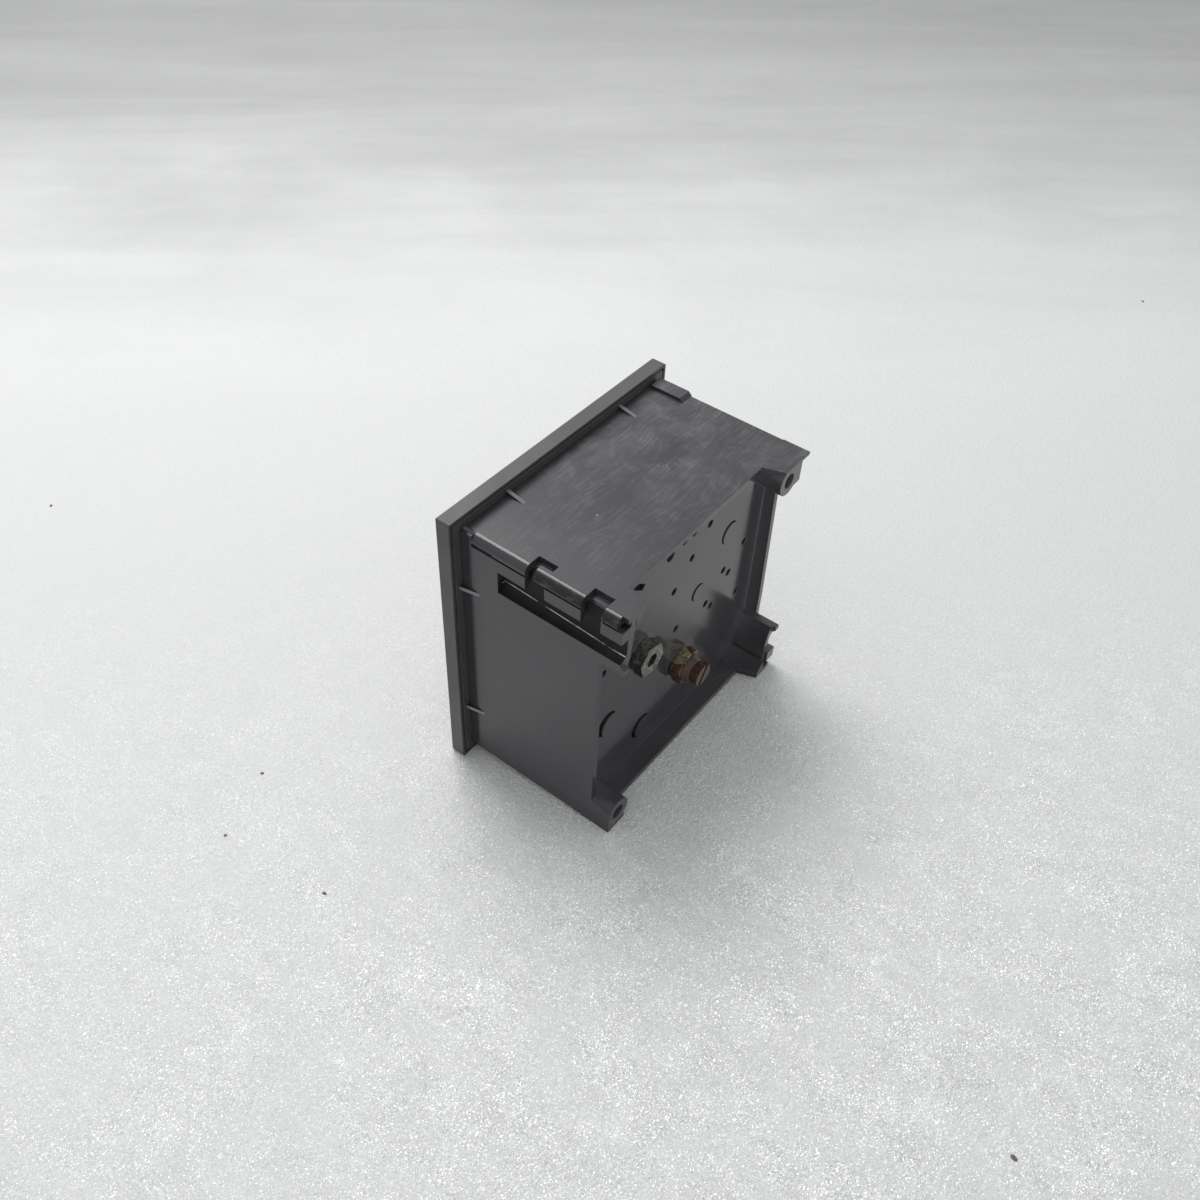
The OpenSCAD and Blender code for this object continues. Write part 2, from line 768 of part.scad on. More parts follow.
module iron_arc(r, t, deg) {
    difference() {
        circle(r = r);
        circle(r = r - t);
        rotate(deg / 2) translate([-2 * r, 0]) square([4 * r, 2 * r]);
        rotate(-deg / 2) translate([-2 * r, -2 * r]) square([4 * r, 2 * r]);
    }
}

module fixed_iron() color("#8d8f92") {
    along_y(coil_y + 3, frame_y - 3) translate([px, pz]) rotate(-20)
        iron_arc(coil_bore_r - 0.02, 0.7, 120);
}

module moving_iron() color("#8d8f92") {
    r = coil_bore_r - 1.6;
    along_y(coil_y + 4, frame_y - 4) translate([px, pz]) rotate(30) iron_arc(r, 0.6, 60);
    along_y(coil_y + 4, coil_y + 5) translate([px, pz]) rotate(30) difference() {
        translate([0, -1]) square([r - 0.3, 2]);
        circle(r = spindle_r);
    }
}

// Spindle with a cone at each end, running in the jewels
cone_l = 0.9;
pivot_front = hair_y - 0.15 - cone_l;
pivot_back = frame_y + 0.9;

module spindle() color("#c8cacc") {
    rod(px, pz, spindle_r, pivot_front + cone_l, pivot_back - cone_l);
    translate([px, pivot_front + cone_l + eps, pz]) rotate([90, 0, 0])
        cylinder(r1 = spindle_r, r2 = 0.1, h = cone_l);
    translate([px, pivot_back - cone_l - eps, pz]) rotate([-90, 0, 0])
        cylinder(r1 = spindle_r, r2 = 0.1, h = cone_l);
}

module pointer() color("#1b1b1d") {
    along_y(pointer_y, pointer_y + pointer_t) translate([px, pz]) difference() {
        union() {
            polygon([[0, pointer_root], [-pointer_neck, pointer_hw], [-pointer_l, 0.08],
                [-pointer_l, -0.08], [-pointer_neck, -pointer_hw], [0, -pointer_root]]);
            circle(r = 2.2);
            for (a = [-38, 38]) rotate(a) translate([0, -0.4]) square([8.6, 0.8]);
        }
        circle(r = spindle_r);
    }
    difference() {
        rod(px, pz, 1.5, pointer_y + pointer_t - eps, pointer_y + pointer_t + 1.2);
        rod(px, pz, spindle_r, pointer_y, pointer_y + pointer_t + 2);
    }
}

module counterweights() color("#b08a45") {
    for (a = [-38, 38]) translate([px, pointer_y, pz]) rotate([0, -a, 0])
        translate([6.4, 0, 0]) difference() {
            translate([0, -0.65, -1.1]) cube([1.7, 1.6, 2.2]);
            translate([-1, 0, -0.4]) cube([4, pointer_t, 0.8]);
        }
}

// Flat spiral from the spindle to the lever
hair_in = 1.5;
hair_turns = 3.5;
hair_t = 0.12;
function hair_rad(a) = hair_in + (hair_r - hair_in) * a / (360 * hair_turns);
function hair_pt(a, o) = (hair_rad(a) + o) * [cos(a + 135 - 180), sin(a + 135 - 180)];

module hairspring() color("#c7a76a") {
    step = 12;
    top = 360 * hair_turns;
    along_y(hair_y, hair_y + hair_w) translate([px, pz]) {
        polygon(concat([for (a = [0:step:top]) hair_pt(a, hair_t / 2)],
            [for (a = [top:-step:0]) hair_pt(a, -hair_t / 2)]));
        difference() {
            circle(r = hair_in + hair_t);
            circle(r = spindle_r);
        }
    }
}

module damping_vane() color("#c4c7ca") {
    along_y(vane_y, vane_y + vane_t) translate([px, pz]) difference() {
        intersection() {
            circle(r = vane_r);
            translate([-2, -vane_r]) square([vane_r + 2, 2 * vane_r]);
        }
        circle(r = spindle_r);
        for (a = [-50, 0, 50]) rotate(a) translate([vane_r * 0.4, 0]) circle(r = 1.3);
    }
    difference() {
        rod(px, pz, 1.6, vane_y + vane_t - eps, vane_y + vane_t + 1.4);
        rod(px, pz, spindle_r, vane_y, vane_y + vane_t + 3);
    }
}

// Magnet with the gap for the vane, seated on the coil bobbin
magnet_in = 6.4;
magnet_out = vane_r + 2.2;
magnet_hw = 3;
magnet_pole = 1.7;

module damping_magnet() color("#55585c") {
    slot = vane_t + 1;
    translate([px, 0, pz]) rotate([0, 45, 0]) difference() {
        block([magnet_in, vane_y - 0.5 - magnet_pole, -magnet_hw], [magnet_out, coil_y, magnet_hw]);
        block([magnet_in - 1, vane_y - 0.5, -magnet_hw - 1],
            [vane_r + 0.6, vane_y - 0.5 + slot, magnet_hw + 1]);
        block([magnet_in - 1, vane_y + slot - 0.5 + magnet_pole * 0.8, -magnet_hw / 3],
            [magnet_out - magnet_hw, coil_y + 1, magnet_hw / 3]);
    }
}

// Strap over the two pillars, with the front jewel in its middle
bridge_hw = 2.4;

module bearing_bridge() color("#b9bcbf") {
    along_y(bridge_y, bridge_y + bridge_t) translate([px, pz]) rotate(45) difference() {
        union() {
            square([2 * pillar_x, 2 * bridge_hw], center = true);
            for (s = [-1, 1]) translate([s * pillar_x, 0]) circle(r = bridge_hw);
            circle(r = jewel_r + 1.9);
        }
        circle(r = jewel_r);
        for (s = [-1, 1]) translate([s * pillar_x, 0]) circle(r = 0.95);
    }
}

module bridge_screws() color("#b9b9b4") {
    for (s = [-1, 1])
        cheese_screw(px + s * pillar_x * d45, pz + s * pillar_x * d45, 1.7, 1,
            bridge_y, bridge_y + bridge_t + 5, 0.85);
}

// Threaded bush with the cup that the spindle turns in
module jewel(y_cup, y_out, dir) {
    cup_h = 1.15;
    cup_r = spindle_r + 0.1;
    difference() {
        rod(px, pz, jewel_r, min(y_cup, y_out), max(y_cup, y_out));
        translate([px, y_cup, pz]) rotate([dir * 90, 0, 0])
            translate([0, 0, -eps])
                cylinder(r1 = cup_r, r2 = cup_r - cup_h * (spindle_r - 0.1) / cone_l, h = cup_h);
        translate([px, y_out, pz]) cube([jewel_r * 3, 0.8, 0.6], center = true);
    }
}

module front_jewel() color("#c9a24a") {
    jewel(pivot_front + cone_l + 0.05, lever_y - 0.5, 1);
}

module rear_jewel() color("#c9a24a") {
    jewel(pivot_back - cone_l - 0.05, frame_y + frame_t + 0.7, -1);
}

module hexagon(af) {
    circle(r = af / 2 / cos(30), $fn = 6);
}

// Hexagonal terminal with its shank through the rear wall
module terminal(t) {
    difference() {
        union() {
            along_y(term_back, term_end) translate(t) rotate(15) hexagon(term_af);
            rod(t[0], t[1], shank_r, shank_end, term_back + eps);
        }
        rod(t[0], t[1], thread_r, term_end - 9, term_end + 1);
    }
}

module open_terminal() color("#9b9c90") {
    terminal(term_1);
}

module wired_terminal() color("#9b9c90") {
    terminal(term_2);
}

module ring(t, r_out, r_in, y0, y1) {
    along_y(y0, y1) translate(t) difference() {
        circle(r = r_out);
        circle(r = r_in);
    }
}

module terminal_washers() color("#a8a89c") {
    for (t = [term_1, term_2]) ring(t, washer_r, shank_r + gap, floor_y, term_back);
}

module screw_washer() color("#8f8f86") {
    ring(term_2, screw_head_r + 0.5, thread_r + gap, term_end, term_end + lock_t);
}

module terminal_screw() color("#6a3a34") {
    seat = term_end + lock_t;
    difference() {
        rod(term_2[0], term_2[1], screw_head_r, seat, seat + screw_head_h);
        translate([term_2[0], seat + screw_head_h, term_2[1]]) rotate([0, 60, 0])
            cube([screw_head_r * 3, 3.2, 1.3], center = true);
    }
    rod(term_2[0], term_2[1], screw_shank_r, term_end - 7, seat + eps);
}

module inner_washers() color("#a8a89c") {
    for (t = [term_1, term_2]) ring(t, washer_r, shank_r + gap, floor_in - washer_t, floor_in);
}

module solder_tags() color("#bfae7a") {
    for (s = [-1, 1]) {
        t = s > 0 ? term_1 : term_2;
        eye = tag_eye(t, s);
        along_y(tag_y, tag_y + tag_t) difference() {
            union() {
                translate(t) circle(r = shank_r + 2);
                translate(t) rotate(-(45 + s * 30)) translate([0, -1.7]) square([tag_reach, 3.4]);
                translate(eye) circle(r = 1.7);
            }
            translate(t) circle(r = shank_r + gap);
            translate(eye) circle(r = wire_r + 0.1);
        }
    }
}

module inner_nuts() color("#9b9c90") {
    for (t = [term_1, term_2]) along_y(tag_y - nut_h, tag_y) translate(t) difference() {
        hexagon(term_af);
        circle(r = shank_r + 0.02);
    }
}

case();
bezel();
window();
window_seal();
zero_screw();
zero_lever();
dial_plate();
dial_screws();
pointer_stops();
movement_frame();
movement_screws();
coil_bobbin();
coil_winding();
fixed_iron();
moving_iron();
spindle();
pointer();
counterweights();
hairspring();
damping_vane();
damping_magnet();
bearing_bridge();
bridge_screws();
front_jewel();
rear_jewel();
open_terminal();
wired_terminal();
terminal_washers();
terminal_screw();
screw_washer();
inner_washers();
solder_tags();
inner_nuts();
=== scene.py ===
import math
from types import SimpleNamespace

import bmesh
import bpy
from mathutils import Matrix, Vector
from mathutils.noise import noise as noiseAt


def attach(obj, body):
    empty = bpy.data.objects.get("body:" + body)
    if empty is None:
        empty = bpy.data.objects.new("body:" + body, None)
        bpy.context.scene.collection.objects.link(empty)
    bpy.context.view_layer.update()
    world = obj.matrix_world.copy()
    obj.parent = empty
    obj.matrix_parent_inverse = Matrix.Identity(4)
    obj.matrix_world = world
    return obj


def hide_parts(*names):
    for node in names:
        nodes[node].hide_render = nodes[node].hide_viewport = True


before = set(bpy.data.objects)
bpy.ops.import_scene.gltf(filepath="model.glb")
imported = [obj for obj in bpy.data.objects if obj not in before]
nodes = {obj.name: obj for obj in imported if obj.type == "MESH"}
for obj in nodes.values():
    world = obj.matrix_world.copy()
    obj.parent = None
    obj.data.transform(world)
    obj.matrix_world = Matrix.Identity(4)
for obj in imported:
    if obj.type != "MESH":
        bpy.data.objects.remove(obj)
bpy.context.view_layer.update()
mm = 0.001


def join(tree, value, socket):
    # a socket is linked, a plain value is written into the socket
    if isinstance(value, bpy.types.NodeSocket):
        tree.links.new(value, socket)
    elif socket.type == "RGBA":
        socket.default_value = (*value[:3], 1.0)
    else:
        socket.default_value = value


def addNode(tree, kind, inputs=None, **choices):
    node = tree.nodes.new(kind)
    for key, value in choices.items():
        setattr(node, key, value)
    for key, value in (inputs or {}).items():
        join(tree, value, node.inputs[key])
    return node


def maths(tree, operation, first, second=0.0):
    return addNode(tree, "ShaderNodeMath", {0: first, 1: second}, operation=operation).outputs[0]


def inTurn(tree, operation, values):
    result = values[0]
    for value in values[1:]:
        result = maths(tree, operation, result, value)
    return result


def times(tree, *values):
    return inTurn(tree, "MULTIPLY", values)


def plus(tree, *values):
    return inTurn(tree, "ADD", values)


def most(tree, *values):
    return inTurn(tree, "MAXIMUM", values)


def minus(tree, first, second):
    return maths(tree, "SUBTRACT", first, second)


def without(tree, share):
    # what is left of 1
    return minus(tree, 1.0, share)


def over(tree, value, limit):
    return maths(tree, "GREATER_THAN", value, limit)


def under(tree, value, limit):
    return maths(tree, "LESS_THAN", value, limit)


def remap(tree, value, low, high, outLow=0.0, outHigh=1.0):
    # straight ramp from low..high to outLow..outHigh, held at both ends
    return addNode(tree, "ShaderNodeMapRange", {
        "Value": value, "From Min": low, "From Max": high, "To Min": outLow, "To Max": outHigh}).outputs[0]


def vectorMaths(tree, operation, first, second, output):
    return addNode(tree, "ShaderNodeVectorMath", {0: first, 1: second}, operation=operation).outputs[output]


def axes(tree, vector):
    return addNode(tree, "ShaderNodeSeparateXYZ", {0: vector}).outputs


def blendColour(tree, share, first, second):
    node = addNode(tree, "ShaderNodeMix", {0: share, 6: first, 7: second}, data_type="RGBA")
    return node.outputs[2]


def objectPlace(tree):
    return addNode(tree, "ShaderNodeTexCoord").outputs["Object"]


def facingAxes(tree):
    return axes(tree, addNode(tree, "ShaderNodeTexCoord").outputs["Normal"])


def stretched(tree, place, scale, turn=0.0):
    # the turn is about z, in radians
    inputs = {"Vector": place, "Rotation": (0, 0, turn), "Scale": scale}
    return addNode(tree, "ShaderNodeMapping", inputs).outputs[0]


def cloud(tree, place, scale, detail=4.0, rough=0.55, twist=0.0):
    inputs = {"Vector": place, "Scale": scale, "Detail": detail, "Roughness": rough, "Distortion": twist}
    return addNode(tree, "ShaderNodeTexNoise", inputs).outputs[0]


def patches(tree, place, noise, ramp, stretch=None, turn=0.0):
    # a cloud (scale, detail, roughness, twist) sent through a ramp (low, high, outLow, outHigh)
    if stretch:
        place = stretched(tree, place, stretch, turn)
    return remap(tree, cloud(tree, place, *noise), *ramp)


def fineLines(tree, place, stretch, width, turn):
    # the level line of a stretched noise is one long thin scratch
    value = cloud(tree, stretched(tree, place, stretch, turn), scale=1.0, detail=1.0)
    away = maths(tree, "ABSOLUTE", minus(tree, value, 0.5))
    return remap(tree, away, 0.0, width, 1.0, 0.0)


def distanceTo(tree, place, x, y, z):
    return vectorMaths(tree, "DISTANCE", place, (x, y, z), "Value")


sensing = {
    "edgeSamples": 6,
    "edgeWear": (0.80, 0.995, 1.0, 0.0),  # from how alike the rounded and the flat normal are
    "openSamples": 8,
}


def edgeWear(tree, reach):
    # 1 on a sharp outside or inside edge, 0 on a flat face; and the rounded normal itself
    rounded = addNode(tree, "ShaderNodeBevel", {"Radius": reach}, samples=sensing["edgeSamples"]).outputs[0]
    flat = addNode(tree, "ShaderNodeNewGeometry").outputs["True Normal"]
    same = vectorMaths(tree, "DOT_PRODUCT", rounded, flat, "Value")
    return remap(tree, same, *sensing["edgeWear"]), rounded


def openness(tree, reach):
    # 1 in the open, towards 0 in a corner, slot or hole
    shading = addNode(tree, "ShaderNodeAmbientOcclusion", {"Distance": reach}, samples=sensing["openSamples"])
    return shading.outputs["AO"]


def startFinish(name, settings):
    finish = bpy.data.materials.new(name)
    finish.use_nodes = True
    shader = finish.node_tree.nodes["Principled BSDF"]
    for key, value in settings.items():
        join(finish.node_tree, value, shader.inputs[key])
    return finish, finish.node_tree, shader


def dress(tree, shader, colour, roughness):
    join(tree, colour, shader.inputs["Base Color"])
    join(tree, roughness, shader.inputs["Roughness"])


def bumpOnto(tree, shader, height, strength, distance, normal=None):
    inputs = {"Height": height, "Strength": strength, "Distance": distance}
    if normal is not None:
        inputs["Normal"] = normal
    bump = addNode(tree, "ShaderNodeBump", inputs)
    join(tree, bump.outputs[0], shader.inputs["Normal"])


def giveFinish(finish, *names):
    for name in names:
        for slot in nodes[name].material_slots:
            slot.material = finish


def addPiece(shape, name, finish):
    # the bmesh becomes an object at the origin and is freed
    mesh = bpy.data.meshes.new(name)
    shape.to_mesh(mesh)
    shape.free()
    mesh.materials.append(finish)
    piece = bpy.data.objects.new(name, mesh)
    bpy.context.scene.collection.objects.link(piece)
    return piece


print("camera")

viewpoint = {
    "place": (0.214131, 0.167403, 0.258590),
    "right": (-0.61109592, 0.7906477, 0.03792092),
    "up": (-0.54572326, -0.4555258, 0.70333659),
    "ahead": (-0.57336541, -0.4091118, -0.7098448),
    "lens": 36.75,
    "sensor": 36.0,
    "clip": (0.005, 20.0),
}


def setCamera():
    lens = bpy.data.cameras.new("viewpoint")
    lens.lens = viewpoint["lens"]
    lens.sensor_width = viewpoint["sensor"]
    lens.clip_start, lens.clip_end = viewpoint["clip"]
    camera = bpy.data.objects.new("viewpoint", lens)
    bpy.context.scene.collection.objects.link(camera)
    columns = [Vector(viewpoint["right"]), Vector(viewpoint["up"]), -Vector(viewpoint["ahead"])]
    turn = Matrix([[column[row] for column in columns] for row in range(3)]).to_4x4()
    camera.matrix_world = Matrix.Translation(viewpoint["place"]) @ turn
    bpy.context.scene.camera = camera


setCamera()

print("light")

lamps = {
    "skyColour": (0.965, 0.975, 0.985),
    "skyStrength": 0.64,
    "backdrop": (0.80, 0.81, 0.81),       # the sky as the camera sees it, past the sheet's edge
    "softbox": {"place": (-0.24, -0.55, 0.93), "aim": (0.0, 0.0, 0.0), "size": 0.55, "power": 6.9},
}


def setWorld():
    world = bpy.data.worlds.new("studio")
    bpy.context.scene.world = world
    world.use_nodes = True
    tree = world.node_tree
    tree.nodes.clear()
    rays = addNode(tree, "ShaderNodeLightPath")
    sky = addNode(tree, "ShaderNodeBackground", {"Color": lamps["skyColour"], "Strength": lamps["skyStrength"]})
    seen = addNode(tree, "ShaderNodeBackground", {"Color": lamps["backdrop"], "Strength": 1.0})
    mixed = addNode(tree, "ShaderNodeMixShader", {
        0: rays.outputs["Is Camera Ray"], 1: sky.outputs[0], 2: seen.outputs[0]})
    addNode(tree, "ShaderNodeOutputWorld", {0: mixed.outputs[0]})


def setSoftbox():
    box = lamps["softbox"]
    light = bpy.data.lights.new("softbox", "AREA")
    light.shape = "SQUARE"
    light.size = box["size"]
    light.energy = box["power"]
    lamp = bpy.data.objects.new("softbox", light)
    bpy.context.scene.collection.objects.link(lamp)
    lamp.location = box["place"]
    lamp.rotation_euler = (Vector(box["aim"]) - Vector(box["place"])).to_track_quat("-Z", "Y").to_euler()


bpy.context.scene.view_settings.view_transform = "Standard"
setWorld()
setSoftbox()

print("floor")

floorSheet = {
    "height": -48.05 * mm,                # under the bezel's lower edge
    "rise": 3.9 / 54.5,                   # the meter rests on the bezel edge and its rear corner
    "reach": 3.0,
    "colour": (0.760, 0.765, 0.757),
    "matt": 0.6,
    "away": (-0.81400, -0.58081, 0.0),    # the direction in which the floor runs off
    "across": (-0.58081, 0.81400, 0.0),
    # painted light and shade: brightness along "away", its uneven limits, and brightness along "across"
    "bands": [(-0.20, 0.97), (-0.05, 0.975), (0.10, 1.0), (0.19, 1.02), (0.285, 0.95), (0.343, 0.86),
              (0.407, 0.755), (0.46, 0.71), (0.57, 0.62), (0.70, 0.57), (0.95, 0.50)],
    "drift": {"noise": (9.0, 3.0, 0.6), "ramp": (0.3, 0.7, -0.035, 0.035)},
    "sideways": (-0.35, 0.40, 1.03, 0.90),
    # soft ripples far off
    "flow": (15.0, 2.2),                  # how fast they change along "away" and "across"
    "ripple": {"noise": (1.0, 7.0, 0.68, 0.5), "ramp": (0.3, 0.7, -0.10, 0.10)},
    "ripplesFrom": (0.14, 0.40),
    # sparkling grain close by, its glints painted highlights
    "grainAway": (-0.10, 0.05, 1.0, 0.10),
    "grainAcross": (-0.12, 0.02, 0.62, 1.0),
    "clumps": {"noise": (60.0, 4.0, 0.65, 0.8), "ramp": (0.35, 0.65, 0.45, 1.30), "stretch": (1.0, 0.6, 1.0)},
    "fine": {"noise": (2900.0, 2.0, 0.6), "ramp": (0.25, 0.75, -0.38, 0.38)},
    "coarse": {"noise": (900.0, 3.0, 0.6), "ramp": (0.25, 0.75, -0.12, 0.12)},
    "broad": {"noise": (150.0, 3.0, 0.6, 0.8), "ramp": (0.25, 0.75, -0.10, 0.10), "stretch": (1.0, 0.6, 1.0)},
    "glint": {"noise": (2100.0, 1.0, 0.5), "ramp": (0.62, 0.74, 0.0, 1.4)},
    "pebble": (780.0, 3.0, 0.6),
    "pebbleBump": (0.8, 0.0006),
}

crumbs = {
    "colour": (0.16, 0.13, 0.10),
    "matt": 0.8,
    "squash": (1.5, 0.9, 0.5),
    "lift": 0.2,
    "places": [(-350.9, 69.3, 0.5), (61.0, 186.3, 0.7), (90.3, -45.2, 0.45), (112.5, -35.9, 0.4),
               (108.7, 2.3, 0.5), (50.7, -214.7, 0.5)],    # x, y and radius
}


def floorHeight(y):
    return floorSheet["height"] + floorSheet["rise"] * y


def sheetLight(tree, place, away, across):
    # painted light and shade: how bright the sheet is from near to far and from side to side
    look = floorSheet
    wavy = plus(tree, away, patches(tree, place, **look["drift"]))
    bands = look["bands"]
    low, high = bands[0][0], bands[-1][0]
    ramp = addNode(tree, "ShaderNodeValToRGB", {"Fac": remap(tree, wavy, low, high)})
    steps = ramp.color_ramp.elements      # the ramp starts with its two end steps
    for where, _ in bands[1:-1]:
        steps.new((where - low) / (high - low))
    for step, (_, level) in zip(steps, bands):
        step.color = (level, level, level, 1.0)
    return times(tree, ramp.outputs[0], remap(tree, across, *look["sideways"]))


def sheetMottle(tree, place, away, across):
    look = floorSheet
    flow = addNode(tree, "ShaderNodeCombineXYZ", {
        0: times(tree, away, look["flow"][0]), 1: times(tree, across, look["flow"][1])}).outputs[0]
    ripple = times(tree, patches(tree, flow, **look["ripple"]), remap(tree, away, *look["ripplesFrom"]))
    close = times(tree, remap(tree, away, *look["grainAway"]), remap(tree, across, *look["grainAcross"]),
                  patches(tree, place, **look["clumps"]))
    fine, coarse, broad, glint = (
        patches(tree, place, **look[layer]) for layer in ("fine", "coarse", "broad", "glint"))
    # the glint layer is painted highlights in the grain
    grain = plus(tree, plus(tree, fine, coarse), plus(tree, broad, glint))
    return plus(tree, times(tree, grain, close), plus(tree, ripple, 1.0))


def sheetFinish():
    look = floorSheet
    finish, tree, shader = startFinish("paleSheet", {"Roughness": look["matt"]})
    place = objectPlace(tree)
    away = vectorMaths(tree, "DOT_PRODUCT", place, look["away"], "Value")
    across = vectorMaths(tree, "DOT_PRODUCT", place, look["across"], "Value")
    level = times(tree, sheetLight(tree, place, away, across), sheetMottle(tree, place, away, across))
    tint = addNode(tree, "ShaderNodeVectorMath", {0: look["colour"], "Scale": level}, operation="SCALE")
    join(tree, tint.outputs[0], shader.inputs["Base Color"])
    bumpOnto(tree, shader, cloud(tree, place, *look["pebble"]), *look["pebbleBump"])
    return finish


def layFloor():
    shape = bmesh.new()
    bmesh.ops.create_grid(shape, x_segments=1, y_segments=1, size=floorSheet["reach"])
    for corner in shape.verts:
        corner.co.z = floorHeight(corner.co.y)
    addPiece(shape, "floor", sheetFinish())


def strewCrumbs():
    shape = bmesh.new()
    for x, y, size in crumbs["places"]:
        made = bmesh.ops.create_icosphere(shape, subdivisions=1, radius=size * mm)["verts"]
        bmesh.ops.scale(shape, vec=crumbs["squash"], verts=made)
        bmesh.ops.rotate(shape, matrix=Matrix.Rotation(x, 3, "Z"), verts=made)    # any turn will do
        high = floorHeight(y * mm) + crumbs["lift"] * mm
        bmesh.ops.translate(shape, vec=(x * mm, y * mm, high), verts=made)
    finish = startFinish("crumb", {"Base Color": crumbs["colour"], "Roughness": crumbs["matt"]})[0]
    addPiece(shape, "crumbs", finish)


layFloor()
strewCrumbs()

print("case")

caseMoulding = {
    "gloss": {"IOR": 1.45},
    "black": (0.0385, 0.038, 0.0425),
    "paleTone": (0.30, 0.305, 0.31),
    "worn": (0.34, 0.34, 0.33),
    # painted shade inside the clamp channel
    "channelShadeBlack": (0.007, 0.007, 0.008),
    "railShadeBlack": (0.013, 0.013, 0.014),
    "highlightGrey": (0.60, 0.60, 0.60),

    # how much of the dust's colour lies on each part
    "topDust": 0.17,
    "wispDust": 0.055,
    "sideDust": 0.050,
    "finPaleness": 0.55,

    # levels and limits of the parts
    "upperFace": 44.1 * mm,
    "skin": 44.12 * mm,                   # only fins, pad and bezel reach past this
    "finReach": 32 * mm,
    "bar": 41.6 * mm,                     # the rounded rail edge starts here in x and z
    "barRear": 24.6 * mm,
    "insetFrom": 41.9 * mm,
    "insetReach": 42.25 * mm,
    "foldFrom": 41.9 * mm,                # painted highlight: a pale line in the fold between the rear wall and its rim
    "foldDepth": 42.6 * mm,
    "foldHigh": 40 * mm,
    "neckShift": 2.5 * mm,
    "rearEdge": 46.0 * mm,
    "channelX": 39.7 * mm,                # the upper clamp channel
    "channelY": (12.0 * mm, 53.2 * mm),
    "channelZ": (29.0 * mm, 41.3 * mm),
    "highlightOut": 42.4 * mm,
    "smudgeAt": (6.8 * mm, 24.3 * mm),
    "chips": [(16.3, 23.8, 0.34), (12.9, 25.9, 0.16), (5.3, 17.0, 0.18), (25.0, 31.5, 0.15)],    # in mm
    "chipCore": 0.5,
    "openReach": 8 * mm,
    "cornerReach": 14 * mm,
    "rounding": 0.22 * mm,

    # ramps: from, to, value at from, value at to
    "faceUp": (0.70, 0.95),
    "faceBack": (0.75, 0.95),
    "rearFrom": (41.6 * mm, 41.8 * mm),
    "openWalls": (0.72, 0.98),
    "openTop": (0.42, 0.72),
    "topAcross": (-18 * mm, 36 * mm, 1.08, 0.26),
    "topAlong": (16 * mm, 47 * mm, 1.0, 0.55),
    "smudge": (1.65 * mm, 11.0 * mm, 0.34, 1.0),
    "neck": (2.6 * mm, 3.8 * mm),         # painted shade: no dust close to the bezel, which leaves a dark band there
    "cornerShut": (0.45, 0.95, 0.30, 0.0),    # dust settled in the corners round the rear wall
    # painted shade: less of this dust lower down, so the rear wall darkens towards the bottom
    "cornerHeight": (-42 * mm, -30 * mm, 0.55, 1.0),
    "foldAcross": (-42 * mm, -40 * mm, 0.55, 0.14),
    "finSlope": (0.1, 0.2),
    "channelOut": (33.0 * mm, 33.2 * mm, 44.05 * mm, 42.4 * mm),
    "highlightHeight": (15 * mm, 49 * mm, 31.6 * mm, 30.5 * mm),    # painted highlight: a bright line along the channel's bottom
    "highlightWidth": (0.075 * mm, 0.15 * mm, 1.0, 0.0),
    "railSide": (43.85 * mm, 44.08 * mm, 1.0, 0.0),
    "rubHeight": (-25 * mm, 25 * mm, 0.35, 1.0),
    "rubRear": (44 * mm, 46 * mm, 0.0, 0.7),
    "rubMiddle": (22 * mm, 30 * mm, 1.0, 0.0),

    # patches and lines of dust and wear
    "swirl": (38.0, 2.0, 0.012),          # scale and detail of the swirls, and how far they reach
    "broad": {"noise": (24.0, 6.0, 0.6, 0.9), "ramp": (0.34, 0.70, 0.30, 1.55),
              "stretch": (1.0, 1.4, 1.0), "turn": 0.5},
    "curls": {"noise": (90.0, 6.0, 0.7, 1.6), "ramp": (0.36, 0.72, 0.62, 1.55)},
    "hairs": ({"noise": (1.0, 3.0, 0.65), "ramp": (0.40, 0.70, 0.70, 1.70),
               "stretch": (120, 1300, 400), "turn": -0.75},
              {"noise": (1.0, 3.0, 0.65), "ramp": (0.40, 0.70, 0.70, 1.62),
               "stretch": (120, 1200, 400), "turn": 0.45}),
    "hairChoice": {"noise": (32.0, 2.0), "ramp": (0.44, 0.56)},
    "film": {"noise": (24.0, 4.0, 0.6, 0.8), "ramp": (0.3, 0.7, 0.75, 1.25)},
    "barWear": {"noise": (170.0, 4.0, 0.6, 0.8), "ramp": (0.42, 0.60, 1.0, 0.35)},
    "blots": {"noise": (480.0, 3.0, 0.6, 0.6), "ramp": (0.52, 0.66, 1.0, 0.25), "stretch": (1.0, 0.55, 1.0)},
    "highlightBreaks": {"noise": (150.0, 3.0), "ramp": (0.42, 0.52, 0.05, 1.0)},
    "scratches": [((30, 380, 300), 0.006, 0.8), ((330, 26, 300), 0.005, -0.35)],    # stretch, width, turn
    "scratched": {"noise": (45.0, 2.0), "ramp": (0.54, 0.62)},
    "scratchStrength": 0.30,
    "chipStrength": 0.9,
    "rearEdgePatches": {"noise": (120.0, 3.0), "ramp": (0.35, 0.65, 0.04, 0.16)},
    "rub": {"noise": (160.0, 4.0, 0.6), "ramp": (0.35, 0.65, 0.04, 0.50)},
    "barSpared": 0.55,                    # the bar and its blotchy side are rubbed less
    "sideSpared": 0.95,

    # roughness and relief
    "matt": {"noise": (60.0, 4.0), "ramp": (0.3, 0.7, 0.12, 0.18)},
    "mattOpen": 0.14,
    "mattDust": 0.7,
    "mattRear": 0.13,
    "mattBar": 0.62,
    "mattDark": 0.6,
    "grain": (2600.0, 3.0, 0.6),
    "grainShare": 0.02,
    "wave": (24.0, 1.0),
    "bump": (0.15, 0.0006),
}


